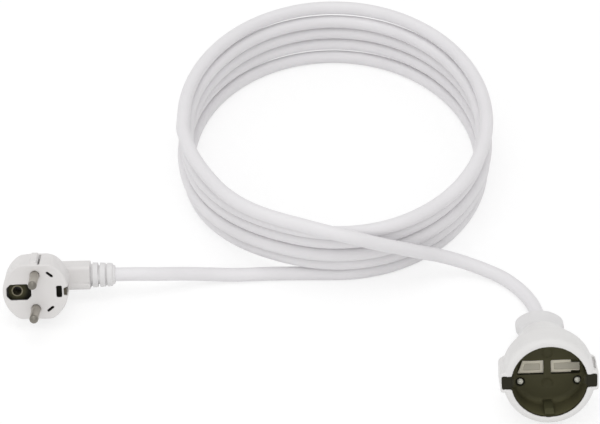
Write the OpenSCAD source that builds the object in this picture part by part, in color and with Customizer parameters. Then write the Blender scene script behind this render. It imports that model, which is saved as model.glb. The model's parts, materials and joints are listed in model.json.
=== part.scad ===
// Earthed extension lead: an angled plug with two round pins, a white round cord that lies in a
// coil of about five turns, and a coupling whose dark socket is closed by a sprung shutter.
// Millimetres, +Z up, the floor at Z = 0. The origin is on the floor, midway between the plug
// and the coupling. The plug and the coupling are each drawn about their own face, with +Z out
// of the face, and are then laid on the floor.

/* [Cord] */
// Outer diameter of the cord's jacket
cord_d = 7.6; // [7:0.1:8]
// Diameter of one insulated core
core_d = 2.6; // [2.3:0.1:2.7]
// Gap between stacked turns of the coil
layer_gap = 0.6; // [0.5:0.1:1.2]
// Half width of the coil at the middle of its turns, along X
coil_half_w = 85; // [75:1:95]
// Half length of the coil at the middle of its turns, along Y
coil_half_l = 106; // [95:1:115]
// Growth of the half length with each turn
coil_growth = 0.85; // [0:0.05:1.2]
// Shift of each turn towards the front
coil_lean = 0.6; // [0:0.1:1]
// How far a turn wanders in and out of the pile
coil_wander = 1.2; // [0:0.1:1.6]

/* [Places] */
// Centre of the coil along X
coil_x = 22; // [20:1:24]
// Centre of the coil along Y
coil_y = 171; // [169:0.5:173]
// Centre of the plug's face along X
plug_x = -140.5; // [-148:0.5:-138]
// Centre of the plug's face along Y
plug_y = 25.5; // [24:0.5:27]
// Roll of the plug about the line of its face, in degrees
plug_roll = 1.3; // [0:0.1:1.6]
// Centre of the coupling's mouth along X
coupling_x = 131.5; // [130:0.5:133]
// Centre of the coupling's mouth along Y
coupling_y = -57.5; // [-59:0.5:-56]
// Turn of the coupling's rear towards the plug's side, in degrees
coupling_turn = 0.5; // [0:0.5:4]
// Roll of the coupling about its own axis, in degrees
coupling_roll = 1.7; // [0:0.1:2]

/* [Plug] */
// Diameter of the plug's face
plug_d = 35.4; // [35.2:0.1:36.4]
// Width of the plug across its two flats
plug_flats = 31; // [30.8:0.1:32]
// Depth of the straight front part
plug_front = 18.5; // [18:0.1:19]
// Depth from the face to the rear
plug_depth = 35; // [35:0.5:37]
// Width of the rear across the tapered flats
plug_rear = 22.8; // [22.4:0.1:23.4]
// Height of the guide ridge on each flat
ridge_h = 1.2; // [1:0.1:1.3]
// Thickness of the white skin over the pin bridge
skin_t = 2.2; // [1.8:0.1:2.4]
// Thickness of the pin bridge
bridge_t = 8; // [7.6:0.1:8]
// Diameter of the pin bridge
bridge_d = 29.6; // [29.2:0.1:29.8]
// Depth of the cable arm's axis behind the face
arm_depth = 28; // [27.8:0.1:28.2]
// Reach of the cable arm from the plug's axis
arm_reach = 28.2; // [28:0.1:30]
// Height of the cable arm
arm_h = 13.6; // [13.2:0.1:14]
// Depth of the cable arm
arm_w = 13; // [12.6:0.1:13.2]

/* [Pins] */
// Diameter of a pin
pin_d = 4.8; // [4.7:0.05:4.8]
// Distance between the two pins
pin_pitch = 19; // [19:0.1:19.2]
// Length of a pin in front of the face
pin_l = 19; // [18.5:0.1:19]
// Distance of the earth hole from the line of the pins
earth_offset = 10; // [9.8:0.1:10.1]
// Inner diameter of the contact sleeves
sleeve_bore = 4.9; // [4.9:0.02:5]

/* [Plug strain relief] */
// Number of ribs
rib_count = 3; // [2:1:4]
// Width of a rib
rib_w = 2.8; // [2.4:0.1:3]
// Width of the groove before a rib
rib_gap = 1.2; // [1:0.1:1.6]
// Diameter of the first rib
rib_d = 13.8; // [13:0.1:14]
// Loss of diameter from rib to rib
rib_taper = 0.4; // [0.2:0.1:0.9]
// Length of the plain tail
tail_l = 2.7; // [2:0.1:5]

/* [Coupling] */
// Diameter of the coupling's rim
rim_d = 48; // [48:0.1:49]
// Depth of the straight drum behind the rim
drum_depth = 20.5; // [20:0.1:22]
// Width across the two flat ears
ear_span = 51; // [50.8:0.1:53]
// Height of an ear
ear_h = 11; // [9:0.5:13]
// Length of the coupling's housing
housing_l = 54; // [54:0.5:58]
// Diameter of the housing at its rear
housing_rear_d = 24.4; // [24:0.1:26]
// Length from the mouth to the end of the collar
coupling_l = 80; // [79.5:0.5:84]
// Width of the rear collar
collar_d = 26; // [25.4:0.1:27.4]
// Height of the rear collar at its middle
collar_h = 14.6; // [14.4:0.1:16]

/* [Socket] */
// Diameter of the socket well
well_d = 39.5; // [39.4:0.1:39.8]
// Depth of the socket well
well_depth = 17.5; // [17.5:0.1:18]
// Wall of the dark insert
insert_wall = 0.65; // [0.6:0.05:0.7]
// Thickness of the well's floor
floor_t = 1.6; // [1.4:0.1:1.8]
// Reach of the windows below the line of the pin entries
window_low = 3.1; // [3:0.1:3.2]
// Reach of the windows above the line of the pin entries
window_high = 4.7; // [4.2:0.1:5]
// Thickness of the contact carrier's disc
carrier_t = 6; // [5.8:0.1:6.4]
// Thickness of the shutter
shutter_t = 1.5; // [1.2:0.1:1.6]
// Travel of the shutter that clears both pin entries
shutter_travel = 6.1; // [6:0.1:6.3]
// Length of a contact sleeve
sleeve_l = 12.2; // [11.6:0.1:12.6]

/* [Fits] */
// Gap round pieces that seat in each other
seat_gap = 0.1; // [0.05:0.01:0.12]
// Gap round a pin, a sleeve or the cord in its bore
bore_gap = 0.05; // [0.03:0.01:0.08]
// Gap round the sliding shutter
slide_gap = 0.25; // [0.2:0.05:0.3]

/* [Hidden] */
$fn = 96;
far = 200;          // longer than any cut has to be
nudge = 0.5;        // how far a cut runs past a face

// Colours
white_plastic = [0.90, 0.90, 0.89];
white_jacket = [0.88, 0.88, 0.88];
olive_black = [0.24, 0.23, 0.16];
shutter_beige = [0.68, 0.64, 0.57];
nickel = [0.66, 0.64, 0.60];
dull_nickel = [0.36, 0.34, 0.30];
brass = [0.76, 0.63, 0.36];
steel = [0.80, 0.80, 0.80];
core_brown = [0.36, 0.20, 0.11];
core_blue = [0.12, 0.28, 0.62];
core_green = [0.35, 0.55, 0.15];

// Cord
cord_r = cord_d / 2;
core_r = core_d / 2;
core_circle = core_d * 0.62;     // radius on which three touching cores lie
layer_step = cord_d + layer_gap;
turn_rings = 24;
climb_start = 285;               // a turn climbs to the next layer between these two angles
climb_end = 345;
last_angle = 270;                // where the last turn leaves the coil
coil_rings = 4 * turn_rings + turn_rings * last_angle / 360;
wander_rate = 0.37;
wander_phase = 200;

// Plug
plug_r = plug_d / 2;
plug_half = plug_flats / 2;
plug_rear_half = plug_rear / 2;
plug_rear_r = 12.4;
plug_edge = 0.8;
rear_chamfer = 2;
rear_contact = plug_depth - rear_chamfer;
pin_r = pin_d / 2;
pin_x = pin_pitch / 2;
pin_root_r = pin_r - 0.4;        // radius of a pin behind the face
pin_tip = 2;                     // length of the rounded tip
pin_tail = 16;                   // pin behind the face
pin_collar_r = pin_r + 1;
pin_cup_l = 4;
bridge_r = bridge_d / 2;
bridge_back = skin_t + bridge_t;
bar_t = 0.8;
bar_front = bridge_back + seat_gap;
bar_back = bar_front + bar_t;
bar_half = 2.7;
clip_half = 1.8;
clip_x = plug_r - 1.6;           // bottom of the two side grooves
clip_groove_l = plug_front + 1;
clip_lip = 1.55;
clip_front = [2, 0];             // the left clip starts deeper than the right one
earth_sleeve_r = sleeve_bore / 2 + 0.65;
earth_sleeve_l = 13.5;
earth_sleeve_front = skin_t + 0.8;
lug_x = -4.5;
lug_r = core_r + 0.7;
lug_l = 4;
bar_eye_r = earth_sleeve_r + 1.7;
chamber_r = 13.6;
chamber_back = 20;
rear_chamber_r = 10.2;
rear_chamber_back = plug_depth - 4.5;
jacket_end_x = 9;
relief_bore_r = cord_r + bore_gap;
root_r = relief_bore_r + 1.05;
root_x = 12;
rib_pitch = rib_w + rib_gap;
relief_end = arm_reach + rib_count * rib_pitch + tail_l - rib_gap;
tail_r = root_r + 0.3;

// The plug rests on the end of its lower guide ridge and on a corner of its rear edge
ridge_x = [-2.6, 0.9];
rear_edge_x = -4.4;
ridge_low = (plug_half + ridge_h) * cos(plug_roll) - ridge_x[0] * sin(plug_roll);
rear_low = plug_rear_half * cos(plug_roll) - rear_edge_x * sin(plug_roll);
plug_tilt = atan((ridge_low - rear_low) / (rear_contact - plug_front));
plug_z = rear_low * cos(plug_tilt) + rear_contact * sin(plug_tilt);

// Coupling
rim_r = rim_d / 2;
ear_front = 0.6;
lip_t = 0.8;                     // lip of the housing that holds the insert in
lip_r = well_d / 2 + bore_gap;
ear_depth = 20;                  // the ears slant in to the housing behind this depth
ear_back = 26;
ear_slot_x = [rim_r - 0.7, rim_r + 0.8];
drum_straight = drum_depth - 2.5; // the drum is rounded behind this depth
well_r = well_d / 2;
insert_r = well_r + insert_wall;
insert_back = well_depth + floor_t;
cavity_r = insert_r + seat_gap;
carrier_r = 20.2;
track_r = carrier_r - 0.8;
carrier_back = insert_back + carrier_t;
recess_depth = shutter_t + 2 * slide_gap;
shutter_front = insert_back + slide_gap;
shutter_back = shutter_front + shutter_t;
window_in = 1.9;
window_left = -15.5;
window_right = 17.2;
wing_step_x = 12.6;              // the right wing is narrower beyond this place
wing_step_y = [0.9 - window_low, 2.2];
wing_slant_x = -12.6;            // upper corner of the left wing
post_half = 2;                   // half width of the shutter's boss
boss_back = carrier_back - 0.8;
boss_low = -2.6;
boss_high = 3.4;
spring_seat_y = 15.8;
spring_r = 1.45;
wire_r = 0.25;
spring_curls = 7;
curl_rings = 8;
spring_z = shutter_back + spring_r + wire_r + 0.05;
entry_r = pin_r + 0.5;
sleeve_r = sleeve_bore / 2 + 0.95;
sleeve_front = carrier_back + 0.2;
sleeve_back = sleeve_front + sleeve_l;
crimp_r = core_r + 0.6;
crimp_back = sleeve_back + 3.5;
tower_r = 14;
tower_half = 6;
tower_in = 5.2;
tower_back = sleeve_back + 1;
strip_t = 0.8;
strip_half = 2.4;
strip_y = well_r - 1.55;         // centre of the earth strip behind the floor
clip_y = well_r - 2;             // front of the sprung earth clips
clip_lip_y = well_r - 0.4;
clip_depths = [2.2, 6, 14];
strip_z = carrier_back + 0.1 + strip_t / 2;
rivet_places = [-14.2, 15.9];
rivet_y = -7;
rivet_head_r = 1.45;
rivet_sink_r = 2.4;
rivet_shank_r = 1;
dimple_places = [-8.2, 9];
dimple_r = 3.1;
tab_out = 24.7;
tab_half = 3.6;
tab_front = lip_t + seat_gap;
tab_depth = 5;
rib_in = 18.15;
cavity_back = housing_l - 4;
bush_r = 8;
bush_front = housing_l - 3;
bush_rib_r = bush_r + 0.8;
jacket_end_z = housing_l - 3.5;
flat_start = housing_l - 8;      // where the housing starts to flatten
flat_end = housing_l + 10;
collar_front = coupling_l - 11;
collar_half = collar_h / 2;
collar_arc_r = 18.1;             // radius of the collar's rounded top and bottom
collar_r = collar_d / 2;
collar_chamfer = 2;
collar_contact = coupling_l - collar_chamfer;
neck_r = 11.6;
housing_rear_r = housing_rear_d / 2;
drum_rear_r = rim_r - 1;
cone_l = housing_l - 2 - drum_depth;
cone_fall = (drum_rear_r - housing_rear_r - 0.3) / cone_l;
flat_half = drum_rear_r - cone_fall * (flat_start - drum_depth) + 0.2;

// The coupling rests on the rear of its drum and on the rear edge of its collar
collar_drop = collar_arc_r - (collar_arc_r - collar_half) * cos(coupling_roll);
coupling_tilt = atan((rim_r - collar_drop) / (collar_contact - drum_straight));
coupling_z = rim_r * cos(coupling_tilt) + drum_straight * sin(coupling_tilt);

// Points in the part's frame of a place given about the plug's or the coupling's face
function plug_point(p) =
    let (across = p[0] * cos(plug_roll) - p[1] * sin(plug_roll),
        over = p[0] * sin(plug_roll) + p[1] * cos(plug_roll))
        [
            plug_x + across,
            plug_y + over * sin(plug_tilt) - p[2] * cos(plug_tilt),
            plug_z + over * cos(plug_tilt) + p[2] * sin(plug_tilt)
        ];
coupling_rear = [
    -sin(coupling_turn) * cos(coupling_tilt),
    cos(coupling_turn) * cos(coupling_tilt),
    -sin(coupling_tilt)
];
function coupling_axis_point(depth) =
    [coupling_x, coupling_y, coupling_z] + depth * coupling_rear;

// Centre line of the coil after so many turns, counted from the middle of the front:
// an oval that grows and leans a little from turn to turn, wanders in and out by a slow sine,
// and climbs one layer near the left of the front
function ease(u) = u <= 0 ? 0 : u >= 1 ? 1 : u * u * (3 - 2 * u);
function coil_layer(turn) =
    floor(turn + 0.0001)
    + ease((360 * (turn - floor(turn + 0.0001)) - climb_start) / (climb_end - climb_start));
function coil_wave(turn) = coil_wander * sin(360 * wander_rate * turn + wander_phase);
function coil_point(turn) = [
    coil_x + (coil_half_w + coil_wave(turn)) * sin(360 * turn),
    coil_y - coil_lean * turn
        - (coil_half_l + coil_growth * turn + coil_wave(turn)) * cos(360 * turn),
    cord_r + layer_step * coil_layer(turn)
];
function unit(v) = v / norm(v);
function level(v) = unit([v[0], v[1], 0]);
last_turn = coil_rings / turn_rings;
coil_first = coil_point(0);
coil_last = coil_point(last_turn);
coil_start = coil_first - cord_d * [1, 0, 0];
coil_end_way = level(coil_last - coil_point(last_turn - 0.01));
coil_end = coil_last + cord_d * coil_end_way;
coil_line = concat(
    [coil_start],
    [for (i = [0 : coil_rings]) coil_point(i / turn_rings)],
    [coil_end]
);

// Route of the lead from inside the plug to the coil
plug_exit = plug_point([relief_end, 0, -arm_depth]);
plug_lead_line = concat(
    [
        plug_point([jacket_end_x, 0, -arm_depth]),
        plug_point([(jacket_end_x + relief_end) / 2, 0, -arm_depth]),
        plug_exit,
        plug_point([relief_end + cord_d, 0, -arm_depth])
    ],
    [
        [-76, 54.2, 12],
        [-62, 58.6, 8.8],
        [-48, 62, 5.8],
        [-33, 63.8, 4],
        [-16, 65, 3.8]
    ],
    [
        coil_start - cord_d * [1, 0, 0],
        coil_start
    ]
);

// Route of the lead from the top of the coil, over its front, to inside the coupling
coupling_exit = coupling_axis_point(coupling_l);
coupling_lead_line = concat(
    [
        coil_end,
        coil_end + 0.4 * cord_d * coil_end_way
    ],
    [
        [-62.6, 147, 36.9],
        [-57.6, 128, 37.8],
        [-49.4, 107.6, 39.4],
        [-39.6, 89, 41.3],
        [-28, 74.6, 42.9],
        [-13.5, 64, 43.8],
        [2.2, 56.9, 43.8],
        [18.5, 52.4, 41.9],
        [32, 50.9, 39.1],
        [45, 53, 33.6],
        [55, 56.9, 28.2],
        [66, 62, 21.5],
        [79, 68, 14],
        [92, 69.2, 8.6],
        [104, 66.5, 5.2],
        [113, 61.4, 4],
        [120, 53.8, 3.8],
        [125.4, 45.2, 3.8],
        [128.9, 36.6, 3.9]
    ],
    [
        coupling_exit + cord_d * coupling_rear,
        coupling_exit,
        coupling_axis_point(jacket_end_z)
    ]
);

// Least distance between the surfaces of one tube's turns, measured between its points
function least_gap(line, apart, width) = min([
    for (i = [0 : len(line) - 1])
        for (j = [i + apart : 1 : len(line) - 1])
            norm(line[i] - line[j])
]) - width;

// Curls of the shutter's return spring, about the coupling's face
spring_start = boss_high + wire_r + 0.1;
spring_stop = spring_seat_y - wire_r - 0.1;
spring_line = [
    for (i = [0 : spring_curls * curl_rings])
        let (turn = i / curl_rings)
            [
                spring_r * cos(360 * turn),
                spring_start + (spring_stop - spring_start) * turn / spring_curls,
                -spring_z + spring_r * sin(360 * turn)
            ]
];
echo(str("Least gap of the coil to itself: ",
    least_gap(coil_line, round(turn_rings / 2), cord_d), " mm"));
echo(str("Least gap of the spring to itself: ",
    least_gap(spring_line, round(curl_rings / 2), 2 * wire_r), " mm"));

// Lays a piece drawn about the plug's face on the floor
module place_plug() {
    translate([plug_x, plug_y, plug_z])
        rotate([90 - plug_tilt, 0, 0])
            rotate([0, 0, plug_roll])
                children();
}

// Lays a piece drawn about the coupling's mouth on the floor
module place_coupling() {
    translate([coupling_x, coupling_y, coupling_z])
        rotate([0, 0, coupling_turn])
            rotate([90 - coupling_tilt, 0, 0])
                rotate([0, 0, coupling_roll])
                    children();
}

// Tube of triangles along a line of points. Each ring stands square to the line, and the first
// and last rings stand square to the first and last stretch. "up" is never along the line.
module tube(line, radius, sides, up = [0, 0, 1]) {
    last = len(line) - 1;
    directions = [
        for (i = [0 : last])
            unit(unit(line[min(i + 1, last)] - line[min(i, last - 1)])
                + unit(line[max(i, 1)] - line[max(i - 1, 0)]))
    ];
    rings = [
        for (i = [0 : last])
            let (across = unit(cross(up, directions[i])), over = cross(directions[i], across))
                for (k = [0 : sides - 1])
                    let (angle = 90 + 360 * k / sides)
                        line[i] + radius * (cos(angle) * across + sin(angle) * over)
    ];
    walls = [
        for (i = [0 : last - 1])
            for (k = [0 : sides - 1])
                let (a = i * sides + k, b = i * sides + (k + 1) % sides)
                    for (face = [[a, a + sides, b], [b, a + sides, b + sides]])
                        face
    ];
    front_cap = [for (k = [1 : sides - 2]) [0, k, k + 1]];
    back = last * sides;
    back_cap = [for (k = [1 : sides - 2]) [back, back + k + 1, back + k]];
    polyhedron(points = rings, faces = concat(walls, front_cap, back_cap), convexity = 10);
}

// Flat outline in Y and Z, carried along X
module side_cut(outline) {
    translate([-far / 2, 0, 0])
        rotate([90, 0, 90])
            linear_extrude(far)
                polygon(outline);
}

// Outline that is the same above and below the axis, from points of half height and depth
function both_sides(points) = concat(
    [for (p = points) [p[0], -p[1]]],
    [for (i = [len(points) - 1 : -1 : 0]) [-points[i][0], -points[i][1]]]
);

// Cylinder that runs from one depth behind the face to another
module post(radius, front, back, x = 0, y = 0) {
    translate([x, y, -back])
        cylinder(r = radius, h = back - front);
}

// Block given by its limits across, up and in depth behind the face
module block(x, y, depth) {
    translate([x[0], y[0], -depth[1]])
        cube([x[1] - x[0], y[1] - y[0], depth[1] - depth[0]]);
}

// Rectangle with round corners, whose curves stay true arcs
module round_rect(size, corner) {
    square([size[0] - 2 * corner, size[1]], center = true);
    square([size[0], size[1] - 2 * corner], center = true);
    for (x = [-1, 1])
        for (y = [-1, 1])
            translate([x * (size[0] / 2 - corner), y * (size[1] / 2 - corner)])
                circle(r = corner);
}

// ---- Plug ----

// Long octagon through which the earth pin enters
module aperture_outline() {
    half_l = 6.6;
    half_h = 4.4;
    cut = 2.1;
    translate([-8.9, 0])
        polygon([
            [half_l, half_h - cut], [half_l - cut, half_h],
            [cut - half_l, half_h], [-half_l, half_h - cut],
            [-half_l, cut - half_h], [cut - half_l, -half_h],
            [half_l - cut, -half_h], [half_l, cut - half_h]
        ]);
}

module aperture(front, back) {
    translate([0, 0, -back])
        linear_extrude(back - front)
            aperture_outline();
}

module face_slots() {
    slot_x = 7.9;
    slot_y = 9.7;
    slot_size = [4.3, 1.3];
    for (side = [-1, 1])
        translate([slot_x, side * slot_y, -skin_t - nudge])
            rotate([0, 0, -38 * side])
                linear_extrude(skin_t + 2 * nudge)
                    square(slot_size, center = true);
    block([11.3, 14.3], [-3.2, 3.2], [-nudge, skin_t + nudge]);
}

module plug_shape() {
    intersection() {
        rotate_extrude()
            polygon([
                [0, 0],
                [plug_r - plug_edge, 0],
                [plug_r - plug_edge * 0.3, -plug_edge * 0.3],
                [plug_r, -plug_edge],
                [plug_r, -plug_front],
                [plug_rear_r + 0.6, 3.4 - plug_depth],
                [plug_rear_r - 0.5, 1.4 - plug_depth],
                [plug_rear_r - 2.2, 0.2 - plug_depth],
                [plug_rear_r - 3.4, -plug_depth],
                [0, -plug_depth]
            ]);
        side_cut(both_sides([
            [plug_half, -nudge],
            [plug_half, plug_front],
            [plug_rear_half, rear_contact],
            [plug_rear_half - rear_chamfer, plug_depth]
        ]));
    }
}

module cable_arm() {
    arm_start = 7;
    translate([arm_start, 0, -arm_depth])
        rotate([90, 0, 90])
            linear_extrude(arm_reach - arm_start)
                round_rect([arm_h, arm_w], 3);
}

module guides(side) {
    ridge_front = 2.4;
    y = side > 0 ? [plug_half - 1, plug_half + ridge_h] : [-plug_half - ridge_h, 1 - plug_half];
    block(ridge_x, y, [ridge_front, plug_front]);
}

module guide_grooves(side) {
    groove_depth = 0.8;
    y = side > 0 ? [plug_half - groove_depth, plug_half + 1]
        : [-plug_half - 1, groove_depth - plug_half];
    block([1.5, 2.4], y, [1, plug_front - 1.5]);
}

// White moulded shell of the plug, hollow behind its skin for the bridge and the cores
module plug_body() {
    color(white_plastic)
        place_plug()
            difference() {
                union() {
                    plug_shape();
                    cable_arm();
                    guides(1);
                    guides(-1);
                }
                guide_grooves(1);
                guide_grooves(-1);
                post(bridge_r + seat_gap, skin_t, bar_back + seat_gap);
                post(chamber_r, bar_back, chamber_back);
                post(rear_chamber_r, chamber_back - nudge, rear_chamber_back);
                for (side = [-1, 1])
                    post(pin_r + seat_gap, -nudge, skin_t + nudge, 0, side * pin_x);
                aperture(-nudge, skin_t + nudge);
                face_slots();
                for (side = [-1, 1]) {
                    front = clip_front[(side + 1) / 2];
                    x_groove = side > 0 ? [clip_x, plug_r + 1] : [-plug_r - 1, -clip_x];
                    x_lip = side > 0 ? [clip_x - clip_lip + bar_t, plug_r + 1]
                        : [-plug_r - 1, clip_lip - bar_t - clip_x];
                    block(x_groove, [-clip_half - 0.6, clip_half + 0.6],
                        [front - seat_gap, clip_groove_l]);
                    block(x_lip, [-clip_half - seat_gap, clip_half + seat_gap],
                        [front - seat_gap, front + bar_t + seat_gap]);
                }
                block([-clip_x - nudge, clip_x + nudge], [-bar_half - seat_gap, bar_half + seat_gap],
                    [bar_front - seat_gap, bar_back + seat_gap]);
                translate([0, 0, -arm_depth])
                    rotate([0, 90, 0])
                        cylinder(r = root_r + bore_gap, h = arm_reach + nudge);
            }
}

// Dark carrier that holds both pins and the earth contact
module pin_bridge() {
    color(olive_black)
        place_plug()
            difference() {
                post(bridge_r, skin_t, bridge_back);
                for (side = [-1, 1])
                    post(pin_root_r + bore_gap, skin_t - nudge, bridge_back + nudge,
                        0, side * pin_x);
                post(earth_sleeve_r + bore_gap, skin_t - nudge, bridge_back + nudge, -earth_offset);
                aperture(skin_t - nudge, skin_t + 1.4);
            }
}

// Solid round pin with a rounded tip, a collar behind the bridge and a cup for its core
module contact_pin() {
    rotate_extrude()
        polygon([
            [0, pin_l],
            [pin_r * 0.45, pin_l - 0.1],
            [pin_r * 0.78, pin_l - pin_tip * 0.35],
            [pin_r * 0.94, pin_l - pin_tip * 0.7],
            [pin_r, pin_l - pin_tip],
            [pin_r, 0],
            [pin_root_r, 0],
            [pin_root_r, -bar_front],
            [pin_collar_r, -bar_front],
            [pin_collar_r, -bar_front - 1.8],
            [pin_root_r, -bar_front - 1.8],
            [pin_root_r, -pin_tail],
            [core_r + bore_gap, -pin_tail],
            [core_r + bore_gap, pin_cup_l - pin_tail],
            [0, pin_cup_l - pin_tail]
        ]);
}

module live_pin() {
    color(nickel)
        place_plug()
            translate([0, pin_x, 0])
                contact_pin();
}

module neutral_pin() {
    color(nickel)
        place_plug()
            translate([0, -pin_x, 0])
                contact_pin();
}

// Sleeve in the plug's face that takes an earth pin
module earth_socket() {
    color(brass)
        place_plug()
            difference() {
                union() {
                    post(earth_sleeve_r, earth_sleeve_front, earth_sleeve_front + earth_sleeve_l,
                        -earth_offset);
                    post(earth_sleeve_r + 0.35, bar_back + seat_gap, bar_back + 1, -earth_offset);
                }
                post(sleeve_bore / 2, earth_sleeve_front - nudge,
                    earth_sleeve_front + earth_sleeve_l - 0.5, -earth_offset);
            }
}

// Strip behind the bridge that joins the earth sleeve to a clip on each side of the plug
module earth_bar() {
    clip_in = clip_x + bore_gap;
    clip_out = clip_in + bar_t;
    lip_in = clip_x - clip_lip + bar_t + seat_gap;
    color(dull_nickel)
        place_plug()
            difference() {
                union() {
                    block([-clip_x, clip_x], [-bar_half, bar_half], [bar_front, bar_back]);
                    block([-clip_out, clip_out], [-clip_half, clip_half], [bar_front, bar_back]);
                    post(bar_eye_r, bar_front, bar_back, -earth_offset);
                    post(lug_r, bar_back - 0.1, bar_back + lug_l, lug_x);
                    for (side = [-1, 1]) {
                        x_clip = side > 0 ? [clip_in, clip_out] : [-clip_out, -clip_in];
                        x_lip = side > 0 ? [lip_in, clip_out] : [-clip_out, -lip_in];
                        front = clip_front[(side + 1) / 2];
                        block(x_clip, [-clip_half, clip_half], [front, bar_back]);
                        block(x_lip, [-clip_half, clip_half], [front, front + bar_t]);
                    }
                }
                post(earth_sleeve_r + bore_gap, bar_front - nudge, bar_back + nudge,
                    -earth_offset);
                post(core_r + bore_gap, bar_back + 1, bar_back + lug_l + nudge, lug_x);
            }
}

// Ribbed, tapering strain relief with a plain root inside the cable arm
module plug_relief() {
    rib_points = [
        for (i = [0 : rib_count - 1])
            let (r = rib_d / 2 - i * rib_taper / 2, x = arm_reach + i * rib_pitch + rib_gap)
                for (p = [[tail_r, x], [r - 0.5, x], [r, x + 0.5], [r, x + rib_w - 0.5],
                    [r - 0.5, x + rib_w], [tail_r, x + rib_w]])
                    p
    ];
    color(white_plastic)
        place_plug()
            translate([0, 0, -arm_depth])
                rotate([0, 90, 0])
                    rotate_extrude()
                        polygon(concat(
                            [
                                [relief_bore_r, root_x],
                                [root_r, root_x],
                                [root_r, arm_reach],
                                [tail_r, arm_reach]
                            ],
                            rib_points,
                            [
                                [tail_r - 0.4, relief_end],
                                [relief_bore_r, relief_end]
                            ]
                        ));
}

// One core inside the plug: from the end of the jacket to its cup
module plug_core(side) {
    place_plug()
        tube([
            [jacket_end_x, side * core_circle * 0.87, -arm_depth - core_circle * 0.5],
            [jacket_end_x - 2, side * core_circle * 0.87, -arm_depth - core_circle * 0.5],
            [5, side * 3, 0.6 - arm_depth],
            [2.6, side * 6, 2.6 - arm_depth],
            [0.6, side * (pin_x - 1.6), 5.6 - arm_depth],
            [0, side * pin_x, -pin_tail - 1.4],
            [0, side * pin_x, -pin_tail - 0.2],
            [0, side * pin_x, pin_cup_l - pin_tail - 0.5]
        ], core_r, 8, [1, 0, 0.3]);
}

module plug_live_core() {
    color(core_brown)
        plug_core(1);
}

module plug_neutral_core() {
    color(core_blue)
        plug_core(-1);
}

module plug_earth_core() {
    color(core_green)
        place_plug()
            tube([
                [jacket_end_x, 0, core_circle - arm_depth],
                [jacket_end_x - 3, 0, core_circle - arm_depth],
                [2, 0, core_circle + 1.4 - arm_depth],
                [lug_x + 2.4, 0, core_circle + 4 - arm_depth],
                [lug_x, 0, -bar_back - lug_l - 3],
                [lug_x, 0, -bar_back - 1.5]
            ], core_r, 8, [0, 1, 0]);
}

// ---- Cord ----

module cord_plug_lead() {
    color(white_jacket)
        tube(plug_lead_line, cord_r, 12);
}

module cord_coil() {
    color(white_jacket)
        tube(coil_line, cord_r, 6);
}

module cord_coupling_lead() {
    color(white_jacket)
        tube(coupling_lead_line, cord_r, 12);
}

// ---- Coupling ----

// The housing flattens towards the collar, whose top and bottom are wide arcs
module flattened_rear() {
    side_cut(both_sides([
        [rim_r + 5, -nudge],
        [rim_r + 5, flat_start],
        [flat_half, flat_start],
        [collar_half, flat_end]
    ]));
    intersection_for(side = [-1, 1])
        translate([0, side * (collar_arc_r - collar_half), -coupling_l]) {
            cylinder(r1 = collar_arc_r - 1, r2 = collar_arc_r, h = collar_chamfer);
            translate([0, 0, collar_chamfer])
                cylinder(r = collar_arc_r, h = collar_contact - flat_end);
        }
}

// Two flat ears whose rear ends slant in to the housing
module ears() {
    half = ear_span / 2;
    corner = 0.8;
    slant = 4.4;
    intersection() {
        translate([0, 0, -ear_back])
            linear_extrude(ear_back - ear_front)
                polygon([
                    [half, corner - ear_h / 2], [half, ear_h / 2 - corner],
                    [half - corner, ear_h / 2], [corner - half, ear_h / 2],
                    [-half, ear_h / 2 - corner], [-half, corner - ear_h / 2],
                    [corner - half, -ear_h / 2], [half - corner, -ear_h / 2]
                ]);
        rotate([90, 0, 0])
            translate([0, 0, -ear_h])
                linear_extrude(2 * ear_h)
                    polygon([
                        [half, 0], [-half, 0], [-half, -ear_depth], [slant - half, -ear_back],
                        [half - slant, -ear_back], [half, -ear_depth]
                    ]);
    }
}

// White housing: a drum round the socket that narrows to a flattened neck
module coupling_housing() {
    color(white_plastic)
        place_coupling()
            difference() {
                union() {
                    intersection() {
                        rotate_extrude()
                            polygon([
                                [0, 0],
                                [rim_r - 2.3, 0],
                                [rim_r - 1, -0.7],
                                [rim_r - 0.2, -2],
                                [rim_r, -3.2],
                                [rim_r, -drum_straight],
                                [rim_r - 0.4, 1.2 - drum_depth],
                                [drum_rear_r, -drum_depth],
                                [housing_rear_r + 0.3, 2 - housing_l],
                                [housing_rear_r, -housing_l],
                                [0, -housing_l]
                            ]);
                        flattened_rear();
                    }
                    ears();
                }
                rotate_extrude()
                    polygon([
                        [0, 1],
                        [lip_r + 1, 1],
                        [lip_r, -0.2],
                        [lip_r, -lip_t],
                        [cavity_r, -lip_t],
                        [cavity_r, -insert_back - seat_gap],
                        [carrier_r + seat_gap, -insert_back - seat_gap],
                        [carrier_r + seat_gap, -strip_z - strip_t / 2 - 0.3],
                        [10, -cavity_back],
                        [bush_r + seat_gap, -cavity_back],
                        [bush_r + seat_gap, -bush_front - 0.5],
                        [bush_rib_r + seat_gap, -bush_front - 0.5],
                        [bush_rib_r + seat_gap, -bush_front - 1.7],
                        [bush_r + seat_gap, -bush_front - 1.7],
                        [bush_r + seat_gap, -housing_l - 1],
                        [0, -housing_l - 1]
                    ]);
                block([-tab_out - seat_gap, tab_out + seat_gap],
                    [-tab_half - seat_gap, tab_half + seat_gap], [-nudge, tab_depth + seat_gap]);
                block(ear_slot_x, [ear_h / 2 - 1, ear_h], [1.2, ear_depth]);
                block(ear_slot_x, [ear_h / 2 - 3.2, ear_h], [tab_depth + 1, ear_depth]);
            }
}

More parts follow.
